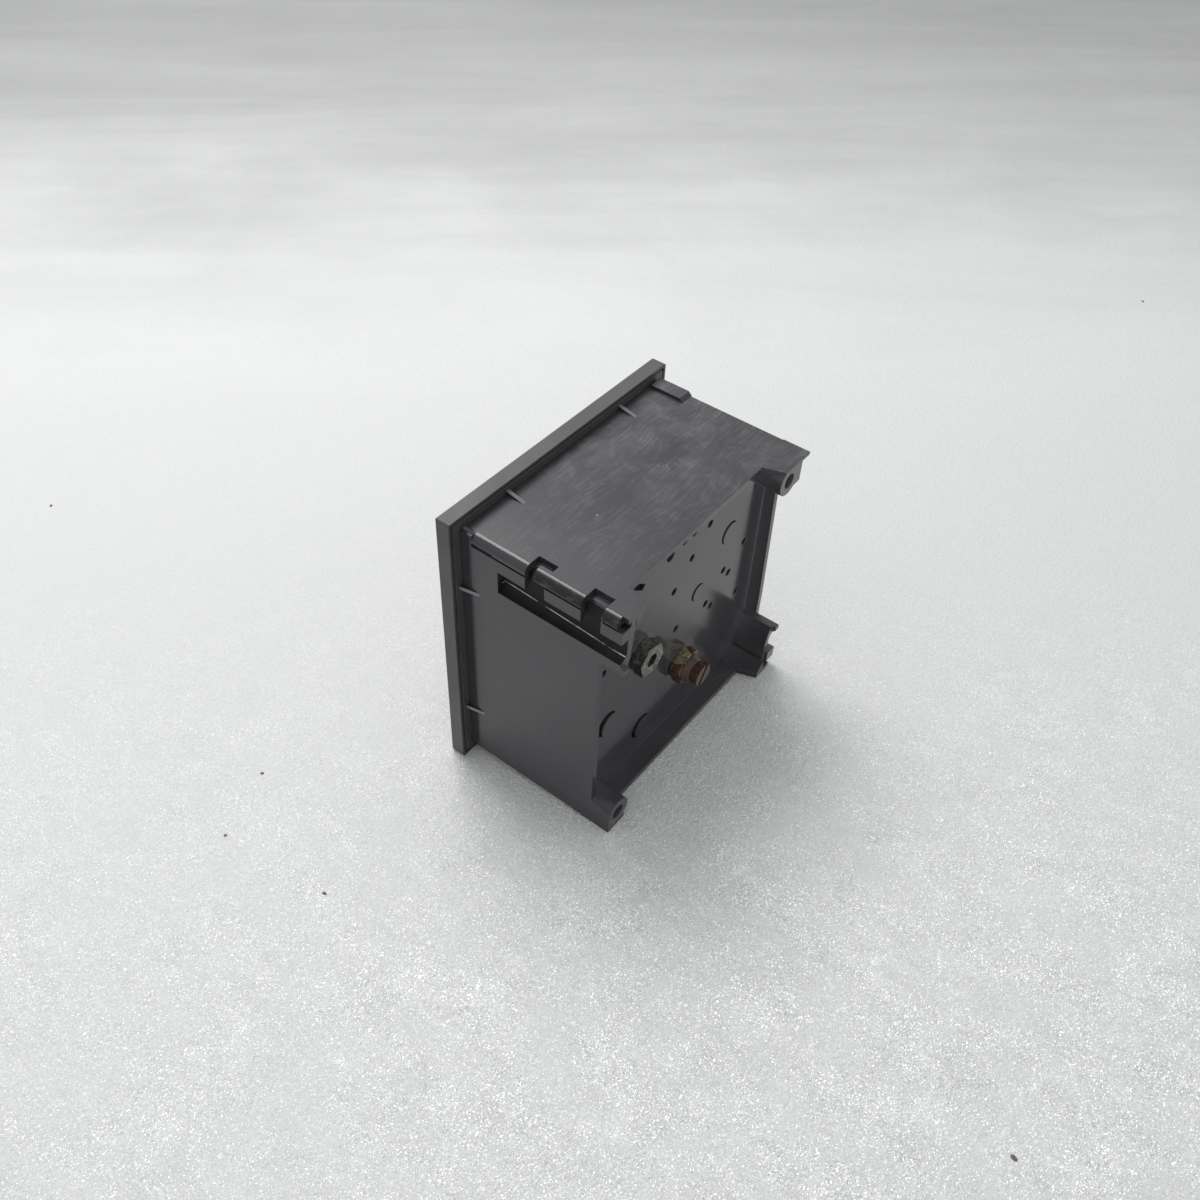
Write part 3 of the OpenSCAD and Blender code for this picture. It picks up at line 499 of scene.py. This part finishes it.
def caseAreas(tree):
    # where a point of the moulding lies, and its share in each area that looks different
    look = caseMoulding
    at = SimpleNamespace(place=objectPlace(tree))
    at.x, at.y, at.z = axes(tree, at.place)
    at.reachX = maths(tree, "ABSOLUTE", at.x)
    at.reachZ = maths(tree, "ABSOLUTE", at.z)
    at.outermost = most(tree, at.reachX, at.reachZ)
    innermost = maths(tree, "MINIMUM", at.reachX, at.reachZ)
    facing = facingAxes(tree)
    at.up = remap(tree, facing[2], *look["faceUp"])
    at.back = remap(tree, facing[1], *look["faceBack"])
    at.rear = times(tree, at.back, remap(tree, at.y, *look["rearFrom"]))

    # hands and dust reach the open walls only; the dark left in corners, slots and recesses is painted shade
    free = openness(tree, look["openReach"])
    at.open = remap(tree, free, *look["openWalls"])
    at.reached = most(tree, times(tree, at.open, at.open), times(tree, at.up, remap(tree, free, *look["openTop"])))

    # the rails are at the two corners where x and z have the same sign
    at.bar = times(tree, over(tree, innermost, look["bar"]), over(tree, times(tree, at.x, at.z), 0.0))
    at.side = times(tree, at.bar, over(tree, at.y, look["barRear"]), remap(tree, at.reachZ, *look["railSide"]),
                    over(tree, at.x, 0.0))
    # painted shade: the rail's side behind the first notch is painted near-black in blotches
    at.blotchy = times(tree, at.side, patches(tree, at.place, **look["blots"]))
    at.inset = times(tree, over(tree, at.y, look["insetFrom"]), under(tree, at.outermost, look["insetReach"]))
    at.fin = times(tree, over(tree, at.outermost, look["skin"]), under(tree, innermost, look["finReach"]),
                   remap(tree, facing[1], *look["finSlope"]))
    lowY, highY = look["channelY"]
    lowZ, highZ = look["channelZ"]
    at.channel = times(
        tree, over(tree, at.x, look["channelX"]), under(tree, at.x, remap(tree, at.z, *look["channelOut"])),
        over(tree, at.z, lowZ), under(tree, at.z, highZ), over(tree, at.y, lowY), under(tree, at.y, highY))
    return at


def topDust(tree, at):
    # dust wiped about in soft clouds and curls, with hair lines through it
    look = caseMoulding
    scale, detail, reach = look["swirl"]
    swirl = addNode(tree, "ShaderNodeTexNoise", {"Vector": at.place, "Scale": scale, "Detail": detail})
    warped = addNode(tree, "ShaderNodeVectorMath", {
        0: swirl.outputs["Color"], 1: (reach,) * 3, 2: at.place}, operation="MULTIPLY_ADD").outputs[0]
    broad = patches(tree, at.place, **look["broad"])
    curls = patches(tree, warped, **look["curls"])
    first, second = (patches(tree, warped, **hairs) for hairs in look["hairs"])
    choice = patches(tree, at.place, **look["hairChoice"])
    hairs = plus(tree, times(tree, first, choice), times(tree, second, without(tree, choice)))

    # one smudge holds less, and so do the sides towards the rail and the rear edge
    rubbed = remap(tree, distanceTo(tree, at.place, *look["smudgeAt"], look["upperFace"]), *look["smudge"])
    paleTone = times(tree, broad, curls, hairs, look["topDust"], rubbed, at.up,
                 remap(tree, at.x, *look["topAcross"]), remap(tree, at.y, *look["topAlong"]))
    wisps = times(tree, minus(tree, times(tree, curls, hairs), 1.0), look["wispDust"])
    paleTone = plus(tree, paleTone, times(tree, most(tree, wisps, 0.0), at.up))
    bare = times(tree, at.bar, patches(tree, at.place, **look["barWear"]))
    return times(tree, paleTone, without(tree, bare))


def allDust(tree, at, onTop):
    look = caseMoulding
    film = patches(tree, at.place, **look["film"])
    # painted shade next to the bezel: the dust stops short of it
    neck = plus(tree, at.y, times(tree, at.up, look["neckShift"]))
    unshaded = times(tree, at.reached, remap(tree, neck, *look["neck"]))
    walls = times(tree, most(tree, onTop, times(tree, film, look["sideDust"])), unshaded)
    corner = times(tree, remap(tree, openness(tree, look["cornerReach"]), *look["cornerShut"]),
                   remap(tree, at.z, *look["cornerHeight"]))
    inset = times(tree, at.inset, film, corner)
    # painted highlight along the fold between the rear wall and its rim
    foldHighlight = times(tree, at.inset, over(tree, at.outermost, look["foldFrom"]),
                 under(tree, at.y, look["foldDepth"]), under(tree, at.z, look["foldHigh"]),
                 remap(tree, at.x, *look["foldAcross"]))
    # the fins stand out of the walls; their slopes towards the rear are paler
    fins = times(tree, at.fin, film, look["finPaleness"])
    return most(tree, walls, inset, foldHighlight, fins)


def channelSeam(tree, at):
    look = caseMoulding
    # a painted highlight along the bottom of the clamp channel, broken in places
    off = maths(tree, "ABSOLUTE", minus(tree, at.reachZ, remap(tree, at.y, *look["highlightHeight"])))
    return times(tree, remap(tree, off, *look["highlightWidth"]), at.channel,
                 under(tree, at.reachX, look["highlightOut"]), patches(tree, at.place, **look["highlightBreaks"]))


def surfaceMarks(tree, at, wear):
    # scratches and chips on top, paler patches on the rear edge's −X half, and rubbed edges
    look = caseMoulding
    scratch = most(tree, *(fineLines(tree, at.place, *line) for line in look["scratches"]))
    marks = times(tree, scratch, patches(tree, at.place, **look["scratched"]),
                  times(tree, at.up, look["scratchStrength"]))
    for x, y, size in look["chips"]:
        off = distanceTo(tree, at.place, x * mm, y * mm, look["upperFace"])
        core = look["chipCore"] * size * mm
        marks = most(tree, marks, remap(tree, off, core, size * mm, look["chipStrength"], 0.0))
    edge = times(tree, at.back, over(tree, at.y, look["rearEdge"]), under(tree, at.x, 0.0))
    edge = times(tree, edge, patches(tree, at.place, **look["rearEdgePatches"]))

    # the rails, low edges and the middle of the rear edge are less rubbed
    spared = times(tree, most(tree, times(tree, at.bar, look["barSpared"]), at.side), look["sideSpared"])
    middle = times(tree, remap(tree, at.y, *look["rubRear"]), remap(tree, at.x, *look["rubMiddle"]))
    rub = times(tree, patches(tree, at.place, **look["rub"]), at.open, without(tree, spared),
                remap(tree, at.z, *look["rubHeight"]), without(tree, middle))
    return most(tree, marks, edge, times(tree, wear, rub))


def caseFinish():
    look = caseMoulding
    finish, tree, shader = startFinish("mouldedPlastic", look["gloss"])
    at = caseAreas(tree)
    onTop = topDust(tree, at)
    wear, rounded = edgeWear(tree, look["rounding"])
    # the pale tone is dust, the painted highlight in the rear fold and the paler fin slopes; leaving it out near
    # the bezel and in recesses paints shade there
    plastic = blendColour(tree, allDust(tree, at, onTop), look["black"], look["paleTone"])
    # painted shade: the clamp channel's inside is near-black
    plastic = blendColour(tree, at.channel, plastic, look["channelShadeBlack"])
    # painted shade on the rail's side
    plastic = blendColour(tree, at.blotchy, plastic, look["railShadeBlack"])
    # painted highlight along the channel's bottom
    plastic = blendColour(tree, channelSeam(tree, at), plastic, look["highlightGrey"])
    plastic = blendColour(tree, surfaceMarks(tree, at, wear), plastic, look["worn"])

    matt = plus(tree, patches(tree, at.place, **look["matt"]), times(tree, at.reached, look["mattOpen"]),
                times(tree, onTop, look["mattDust"]))
    matt = minus(tree, matt, times(tree, at.rear, look["mattRear"]))
    matt = times(tree, matt, without(tree, times(tree, at.bar, look["mattBar"])))
    matt = plus(tree, matt, times(tree, most(tree, at.channel, at.blotchy), look["mattDark"]))
    dress(tree, shader, plastic, matt)
    grain = times(tree, cloud(tree, at.place, *look["grain"]), look["grainShare"])
    bumpOnto(tree, shader, plus(tree, grain, cloud(tree, at.place, *look["wave"])), *look["bump"], rounded)
    return finish


giveFinish(caseFinish(), "case")

print("bezel")

bezelMoulding = {
    "gloss": {"IOR": 1.5},
    "black": (0.030, 0.031, 0.030),
    "bloom": (0.132, 0.133, 0.124),
    "worn": (0.30, 0.30, 0.28),
    "upward": (0.2, 0.9, 0.7, 1.15),      # more bloom on what faces up
    "haze": {"noise": (26.0, 5.0, 0.6, 1.0), "ramp": (0.3, 0.72, 0.32, 0.58)},
    "rounding": 0.3 * mm,
    "rub": {"noise": (140.0, 4.0, 0.6), "ramp": (0.4, 0.65, 0.02, 0.5)},
    "matt": {"noise": (90.0, 3.0), "ramp": (0.3, 0.7, 0.40, 0.55)},
    "grain": (2200.0, 3.0, 0.6),
    "bump": (0.10, 0.0001),
}


def bezelFinish():
    look = bezelMoulding
    finish, tree, shader = startFinish("bezelPlastic", look["gloss"])
    place = objectPlace(tree)
    bloom = times(tree, patches(tree, place, **look["haze"]), remap(tree, facingAxes(tree)[2], *look["upward"]))
    plastic = blendColour(tree, bloom, look["black"], look["bloom"])
    wear, rounded = edgeWear(tree, look["rounding"])
    rubbed = times(tree, wear, patches(tree, place, **look["rub"]))
    dress(tree, shader, blendColour(tree, rubbed, plastic, look["worn"]), patches(tree, place, **look["matt"]))
    bumpOnto(tree, shader, cloud(tree, place, *look["grain"]), *look["bump"], rounded)
    return finish


giveFinish(bezelFinish(), "bezel", "zero_screw", "pointer_stops")

print("terminals")

plating = {
    "nickelPlate": ((0.13, 0.13, 0.115), (0.46, 0.455, 0.42)),    # dull and fresh
    "wornBrass": ((0.42, 0.36, 0.19), (0.80, 0.72, 0.45)),
    "mottle": (620.0, 6.0, 0.7, 0.8),
    "freshness": (0.40, 0.62),
    "pits": {"noise": (1100.0, 3.0, 0.65), "ramp": (0.53, 0.63)},
    "pitShare": 0.8,
    "pitColour": (0.08, 0.065, 0.05),
    "unshadedRear": (0.6, 0.9, 0.0, 0.92),
    "unshadedTop": (0.45, 0.8, 0.0, 0.75),
    "grimeAndShade": 0.84,
    "unshadedClear": 0.90,
    "shutReach": 4 * mm,
    "shut": (0.45, 0.95, 1.0, 0.0),
    "shutGrime": 0.45,
    "grimeAndShadeColour": (0.075, 0.064, 0.052),
    "matt": (0.3, 0.7, 0.32, 0.6),
    "bump": (0.12, 0.0001),
}


def platedFinish(name):
    look = plating
    dull, fresh = look[name]
    finish, tree, shader = startFinish(name, {"Metallic": 1.0})
    place = objectPlace(tree)
    mottle = cloud(tree, place, *look["mottle"])
    pits = patches(tree, place, **look["pits"])
    metal = blendColour(tree, remap(tree, mottle, *look["freshness"]), dull, fresh)
    metal = blendColour(tree, times(tree, pits, look["pitShare"]), metal, look["pitColour"])
    # grime and painted shade darken the sides; the faces to the rear and on top are left bright, and grime always
    # lies in the corners
    facing = facingAxes(tree)
    unshaded = most(tree, remap(tree, facing[1], *look["unshadedRear"]), remap(tree, facing[2], *look["unshadedTop"]))
    shut = remap(tree, openness(tree, look["shutReach"]), *look["shut"])
    grimeAndShade = most(tree, minus(tree, look["grimeAndShade"], times(tree, unshaded, look["unshadedClear"])),
                 times(tree, shut, look["shutGrime"]))
    metal = blendColour(tree, grimeAndShade, metal, look["grimeAndShadeColour"])
    dress(tree, shader, metal, remap(tree, mottle, *look["matt"]))
    bumpOnto(tree, shader, minus(tree, mottle, pits), *look["bump"])
    return finish


giveFinish(platedFinish("nickelPlate"), "inner_washers", "inner_nuts", "front_jewel", "rear_jewel")
platedFinish("wornBrass")

lacquer = {
    "dark": (0.038, 0.018, 0.010),
    "light": (0.098, 0.043, 0.022),
    "gloss": {"Coat Weight": 0.30, "Coat Roughness": 0.12, "IOR": 1.42},
    "depth": (380.0, 4.0, 0.6, 0.6),
    "lightness": (0.35, 0.68),
    "matt": (0.3, 0.7, 0.25, 0.45),
    "bump": (0.3, 0.0002),
}


def lacquerFinish():
    look = lacquer
    finish, tree, shader = startFinish("sealingLacquer", look["gloss"])
    depth = cloud(tree, objectPlace(tree), *look["depth"])
    colour = blendColour(tree, remap(tree, depth, *look["lightness"]), look["dark"], look["light"])
    dress(tree, shader, colour, remap(tree, depth, *look["matt"]))
    bumpOnto(tree, shader, depth, *look["bump"])
    return finish


sealingLacquer = lacquerFinish()

roundedMetal = {
    "weld": 1e-6,
    "flat": math.radians(0.5),            # faces that differ less are melted together
    "sharp": math.radians(28),
    "segments": 2,
    "pieces": {                           # bevel width in mm and material
        "open_terminal": (0.18, "nickelPlate"),
        "wired_terminal": (0.18, "wornBrass"),
        "terminal_washers": (0.12, "nickelPlate"),
        "screw_washer": (0.12, "nickelPlate"),
        "terminal_screw": (0.30, "sealingLacquer"),
    },
}


def roundedCopy(name, width, finish):
    # the CAD mesh is loose triangles: weld it, melt its flat faces together and bevel the edges
    look = roundedMetal
    shape = bmesh.new()
    shape.from_mesh(nodes[name].data)
    bmesh.ops.remove_doubles(shape, verts=shape.verts, dist=look["weld"])
    bmesh.ops.dissolve_limit(shape, angle_limit=look["flat"], verts=shape.verts, edges=shape.edges)
    piece = addPiece(shape, name + "_rounded", finish)
    piece.data.shade_smooth()
    piece.data.set_sharp_from_angle(angle=look["sharp"])
    bevel = piece.modifiers.new("round", "BEVEL")
    bevel.width = width * mm
    bevel.segments = look["segments"]
    bevel.limit_method = "ANGLE"
    bevel.angle_limit = look["sharp"]
    bevel.harden_normals = True
    return piece


for name, (width, finishName) in roundedMetal["pieces"].items():
    piece = roundedCopy(name, width, bpy.data.materials[finishName])
    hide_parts(name)
    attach(piece, "housing")

lacquerCoat = {
    "axis": (-3.68, -17.68),              # x and z of the clamped terminal, here all in mm
    "turn": 15,
    "corner": 5.92,
    "from": 42.95,
    "high": 3.75,
    "softEdge": 0.7,
    "cuts": 3,
    "lumps": (1.7, 0.16),                 # size and height
    "sag": 0.35,
    "sagReach": 5.0,
    "smooth": 0.4,
    "bare": ((0.0, 0.0, 3.95), (0.25, -0.25, 1.0)),    # the brush missed what lies above this plane
    "base": ((0, 0.1, 0), (0, -1, 0)),                 # open towards the washer
    "skin": 0.12,
    "fillet": [(3.2, 46.4), (4.9, 46.45), (4.5, 46.9), (4.25, 47.5), (3.95, 48.1), (3.72, 48.7)],
    "filletSteps": 40,
    "filletWeld": 1e-4,
    "filletLumps": (1.3, 0.22),
}


def roughen(shape, size, amount):
    # brushed lacquer is never even: move each point along its normal by a smooth noise
    bmesh.ops.recalc_face_normals(shape, faces=shape.faces)
    shape.normal_update()
    for point in shape.verts:
        point.co += point.normal * noiseAt(point.co / size) * amount


def cutAway(shape, where, normal):
    parts = shape.verts[:] + shape.edges[:] + shape.faces[:]
    bmesh.ops.bisect_plane(shape, geom=parts, plane_co=where, plane_no=normal, clear_outer=True)


def finishLacquer(shape, name):
    bmesh.ops.scale(shape, vec=(mm, mm, mm), verts=shape.verts)
    piece = addPiece(shape, name, sealingLacquer)
    piece.data.shade_smooth()
    wall = piece.modifiers.new("skin", "SOLIDIFY")
    wall.thickness = lacquerCoat["skin"] * mm
    wall.offset = -1.0
    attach(piece, "housing")


def coatTerminal():
    # a hexagonal cap over the nut, laid down on its side
    look = lacquerCoat
    shape = bmesh.new()
    bmesh.ops.create_circle(shape, cap_ends=True, segments=6, radius=look["corner"])
    turn = Matrix.Rotation(math.radians(look["turn"]), 3, "Z")
    bmesh.ops.rotate(shape, matrix=turn, verts=shape.verts)
    raised = bmesh.ops.extrude_face_region(shape, geom=shape.faces[:])["geom"]
    top = [part for part in raised if isinstance(part, bmesh.types.BMVert)]
    bmesh.ops.translate(shape, vec=(0, 0, look["high"]), verts=top)
    bmesh.ops.bevel(shape, geom=shape.edges[:], offset=look["softEdge"], affect="EDGES", segments=2,
                    profile=0.5, material=-1)
    bmesh.ops.triangulate(shape, faces=shape.faces)
    bmesh.ops.subdivide_edges(shape, edges=shape.edges, cuts=look["cuts"], use_grid_fill=True)
    bmesh.ops.rotate(shape, matrix=Matrix.Rotation(math.radians(-90), 3, "X"), verts=shape.verts)
    roughen(shape, *look["lumps"])
    for point in shape.verts:             # it ran down and hangs under the nut
        point.co.z -= look["sag"] * max(0.0, min(1.0, -point.co.z / look["sagReach"])) ** 2
    bmesh.ops.smooth_vert(shape, verts=shape.verts, factor=look["smooth"],
                          use_axis_x=True, use_axis_y=True, use_axis_z=True)
    cutAway(shape, *look["bare"])
    cutAway(shape, *look["base"])
    x, z = look["axis"]
    bmesh.ops.translate(shape, vec=(x, look["from"], z), verts=shape.verts)
    finishLacquer(shape, "lacquer_coat")


def filletScrew():
    look = lacquerCoat
    shape = bmesh.new()
    points = [shape.verts.new((radius, y, 0)) for radius, y in look["fillet"]]
    edges = [shape.edges.new(pair) for pair in zip(points, points[1:])]
    bmesh.ops.spin(shape, geom=points + edges, cent=(0, 0, 0), axis=(0, 1, 0), angle=2 * math.pi,
                   steps=look["filletSteps"], use_merge=True)
    bmesh.ops.remove_doubles(shape, verts=shape.verts, dist=look["filletWeld"])
    roughen(shape, *look["filletLumps"])
    x, z = look["axis"]
    bmesh.ops.translate(shape, vec=(x, 0, z), verts=shape.verts)
    finishLacquer(shape, "lacquer_fillet")


coatTerminal()
filletScrew()

print("inside")

# light and dark colour, roughness, metallic share, and the pieces that have it
innerFinishes = {
    "brassSheet": ((0.60, 0.42, 0.16), (0.42, 0.27, 0.09), 0.32, 1.0,
                   ("zero_lever", "counterweights", "hairspring", "bearing_bridge")),
    "zincPlate": ((0.55, 0.55, 0.53), (0.40, 0.40, 0.38), 0.35, 1.0,
                  ("dial_screws", "movement_screws", "bridge_screws", "spindle")),
    "softIron": ((0.30, 0.30, 0.31), (0.20, 0.20, 0.21), 0.45, 1.0, ("fixed_iron", "moving_iron")),
    "bareAluminium": ((0.68, 0.69, 0.70), (0.52, 0.53, 0.54), 0.35, 1.0, ("damping_vane",)),
    "magnetAlloy": ((0.14, 0.14, 0.145), (0.09, 0.09, 0.095), 0.6, 0.6, ("damping_magnet",)),
    "tinnedBrass": ((0.60, 0.58, 0.50), (0.42, 0.40, 0.33), 0.38, 1.0, ("solder_tags",)),
    "copperWire": ((0.46, 0.16, 0.05), (0.30, 0.085, 0.025), 0.28, 0.9, ("coil_winding",)),
    "innerPlastic": ((0.035, 0.035, 0.038), (0.022, 0.022, 0.024), 0.45, 0.0, ("movement_frame",)),
    "bobbinPlastic": ((0.70, 0.66, 0.56), (0.60, 0.56, 0.46), 0.5, 0.0, ("coil_bobbin",)),
    "dialPaint": ((0.86, 0.85, 0.80), (0.82, 0.81, 0.75), 0.55, 0.0, ("dial_plate",)),
    "pointerPaint": ((0.012, 0.012, 0.013), (0.020, 0.020, 0.021), 0.5, 0.0, ("pointer",)),
    "rubberSeal": ((0.022, 0.022, 0.024), (0.015, 0.015, 0.016), 0.75, 0.0, ("window_seal",)),
}

innerSurface = {
    "tone": (220.0, 5.0, 0.6, 0.4),
    "spread": (0.3, 0.7),
    "smoother": 0.06,
    "rougher": 0.08,
    "grain": (1800.0, 3.0, 0.6),
    "bump": (0.12, 0.0001),
}


def plainFinish(name, light, dark, rough, metallic):
    look = innerSurface
    finish, tree, shader = startFinish(name, {"Metallic": metallic})
    place = objectPlace(tree)
    tone = cloud(tree, place, *look["tone"])
    colour = blendColour(tree, remap(tree, tone, *look["spread"]), light, dark)
    matt = remap(tree, tone, *look["spread"], rough - look["smoother"], rough + look["rougher"])
    dress(tree, shader, colour, matt)
    bumpOnto(tree, shader, cloud(tree, place, *look["grain"]), *look["bump"])
    return finish


for name, (*surface, wearers) in innerFinishes.items():
    giveFinish(plainFinish(name, *surface), *wearers)

windowGlass = {"Base Color": (1.0, 1.0, 1.0), "Roughness": 0.0, "IOR": 1.45, "Transmission Weight": 1.0}
giveFinish(startFinish("windowGlass", windowGlass)[0], "window")

print("dial print")

dialPrint = {
    "pivot": (30.0, -30.0),
    "face": 5.0,                          # y of the painted face
    "thick": 0.04,
    "arc": (60.0, 0.45),                  # radius of the scale line and its width
    "arcSteps": 60,
    "divisions": 50,
    "longEvery": 10,
    "middleEvery": 5,
    "firstShort": 5,                      # no short marks below this one
    "long": (60.0, 66.0, 0.55),           # from, to and width
    "middle": (60.0, 64.0, 0.40),
    "short": (60.0, 62.6, 0.28),
    "crowding": 1.3,                      # a moving-iron scale is cramped at its low end
    "full": 100,
    "numberEvery": 20,
    "numberRadius": 70.2,
    "lastNumber": (-6.0, 68.4),           # beside its mark, clear of the dial screw
    "numberSize": 4.6,
    "unit": (6.0, 2.0, 11.0),             # x, z and size of the letter
    "curveSteps": 6,
    "weld": 1e-6,
}


def dialAngle(share):
    return math.pi - 0.5 * math.pi * share ** dialPrint["crowding"]


def addArc(shape):
    radius, width = dialPrint["arc"]
    profile = [shape.verts.new((-radius - out * width / 2, side * dialPrint["thick"] / 2, 0))
               for out, side in ((-1, -1), (1, -1), (1, 1), (-1, 1))]
    face = shape.faces.new(profile)
    bmesh.ops.spin(shape, geom=[face] + list(face.edges) + profile, cent=(0, 0, 0), axis=(0, 1, 0),
                   angle=math.pi / 2, steps=dialPrint["arcSteps"], use_merge=False)


def addBar(shape, inner, outer, width, angle):
    made = bmesh.ops.create_cube(shape, size=1.0)["verts"]
    bmesh.ops.scale(shape, vec=(outer - inner, dialPrint["thick"], width), verts=made)
    bmesh.ops.translate(shape, vec=((inner + outer) / 2, 0, 0), verts=made)
    bmesh.ops.rotate(shape, matrix=Matrix.Rotation(-angle, 3, "Y"), verts=made)


def addText(shape, words, size, x, z):
    curve = bpy.data.curves.new("words", "FONT")
    curve.body = words
    curve.size = size
    curve.align_x = "CENTER"
    curve.align_y = "CENTER"
    curve.resolution_u = dialPrint["curveSteps"]
    curve.extrude = dialPrint["thick"] / 2
    holder = bpy.data.objects.new("words", curve)
    bpy.context.scene.collection.objects.link(holder)
    bpy.context.view_layer.update()
    mesh = bpy.data.meshes.new_from_object(holder.evaluated_get(bpy.context.evaluated_depsgraph_get()))
    bpy.data.objects.remove(holder)
    mesh.transform(Matrix.Translation((x, 0, z)) @ Matrix.Rotation(math.pi / 2, 4, "X"))
    shape.from_mesh(mesh)


def addMarks(shape):
    look = dialPrint
    for step in range(look["divisions"] + 1):
        if 0 < step < look["firstShort"]:
            continue
        kind = "short" if step % look["middleEvery"] else "middle" if step % look["longEvery"] else "long"
        addBar(shape, *look[kind], dialAngle(step / look["divisions"]))


def addNumbers(shape):
    look = dialPrint
    for number in range(0, look["full"] + 1, look["numberEvery"]):
        angle = dialAngle(number / look["full"])
        x, z = look["numberRadius"] * math.cos(angle), look["numberRadius"] * math.sin(angle)
        if number == look["full"]:
            x, z = look["lastNumber"]
        addText(shape, str(number), look["numberSize"], x, z)


def printDial():
    look = dialPrint
    pivotX, pivotZ = look["pivot"]
    unitX, unitZ, unitSize = look["unit"]
    shape = bmesh.new()
    addArc(shape)
    addMarks(shape)
    addNumbers(shape)
    addText(shape, "A", unitSize, unitX - pivotX, unitZ - pivotZ)
    bmesh.ops.translate(shape, vec=(pivotX, look["face"] - look["thick"] / 2, pivotZ), verts=shape.verts)
    bmesh.ops.scale(shape, vec=(mm, mm, mm), verts=shape.verts)
    bmesh.ops.remove_doubles(shape, verts=shape.verts, dist=look["weld"])
    bmesh.ops.recalc_face_normals(shape, faces=shape.faces)
    piece = addPiece(shape, "dial_print", bpy.data.materials["pointerPaint"])
    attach(piece, "housing")


printDial()

print("finished")
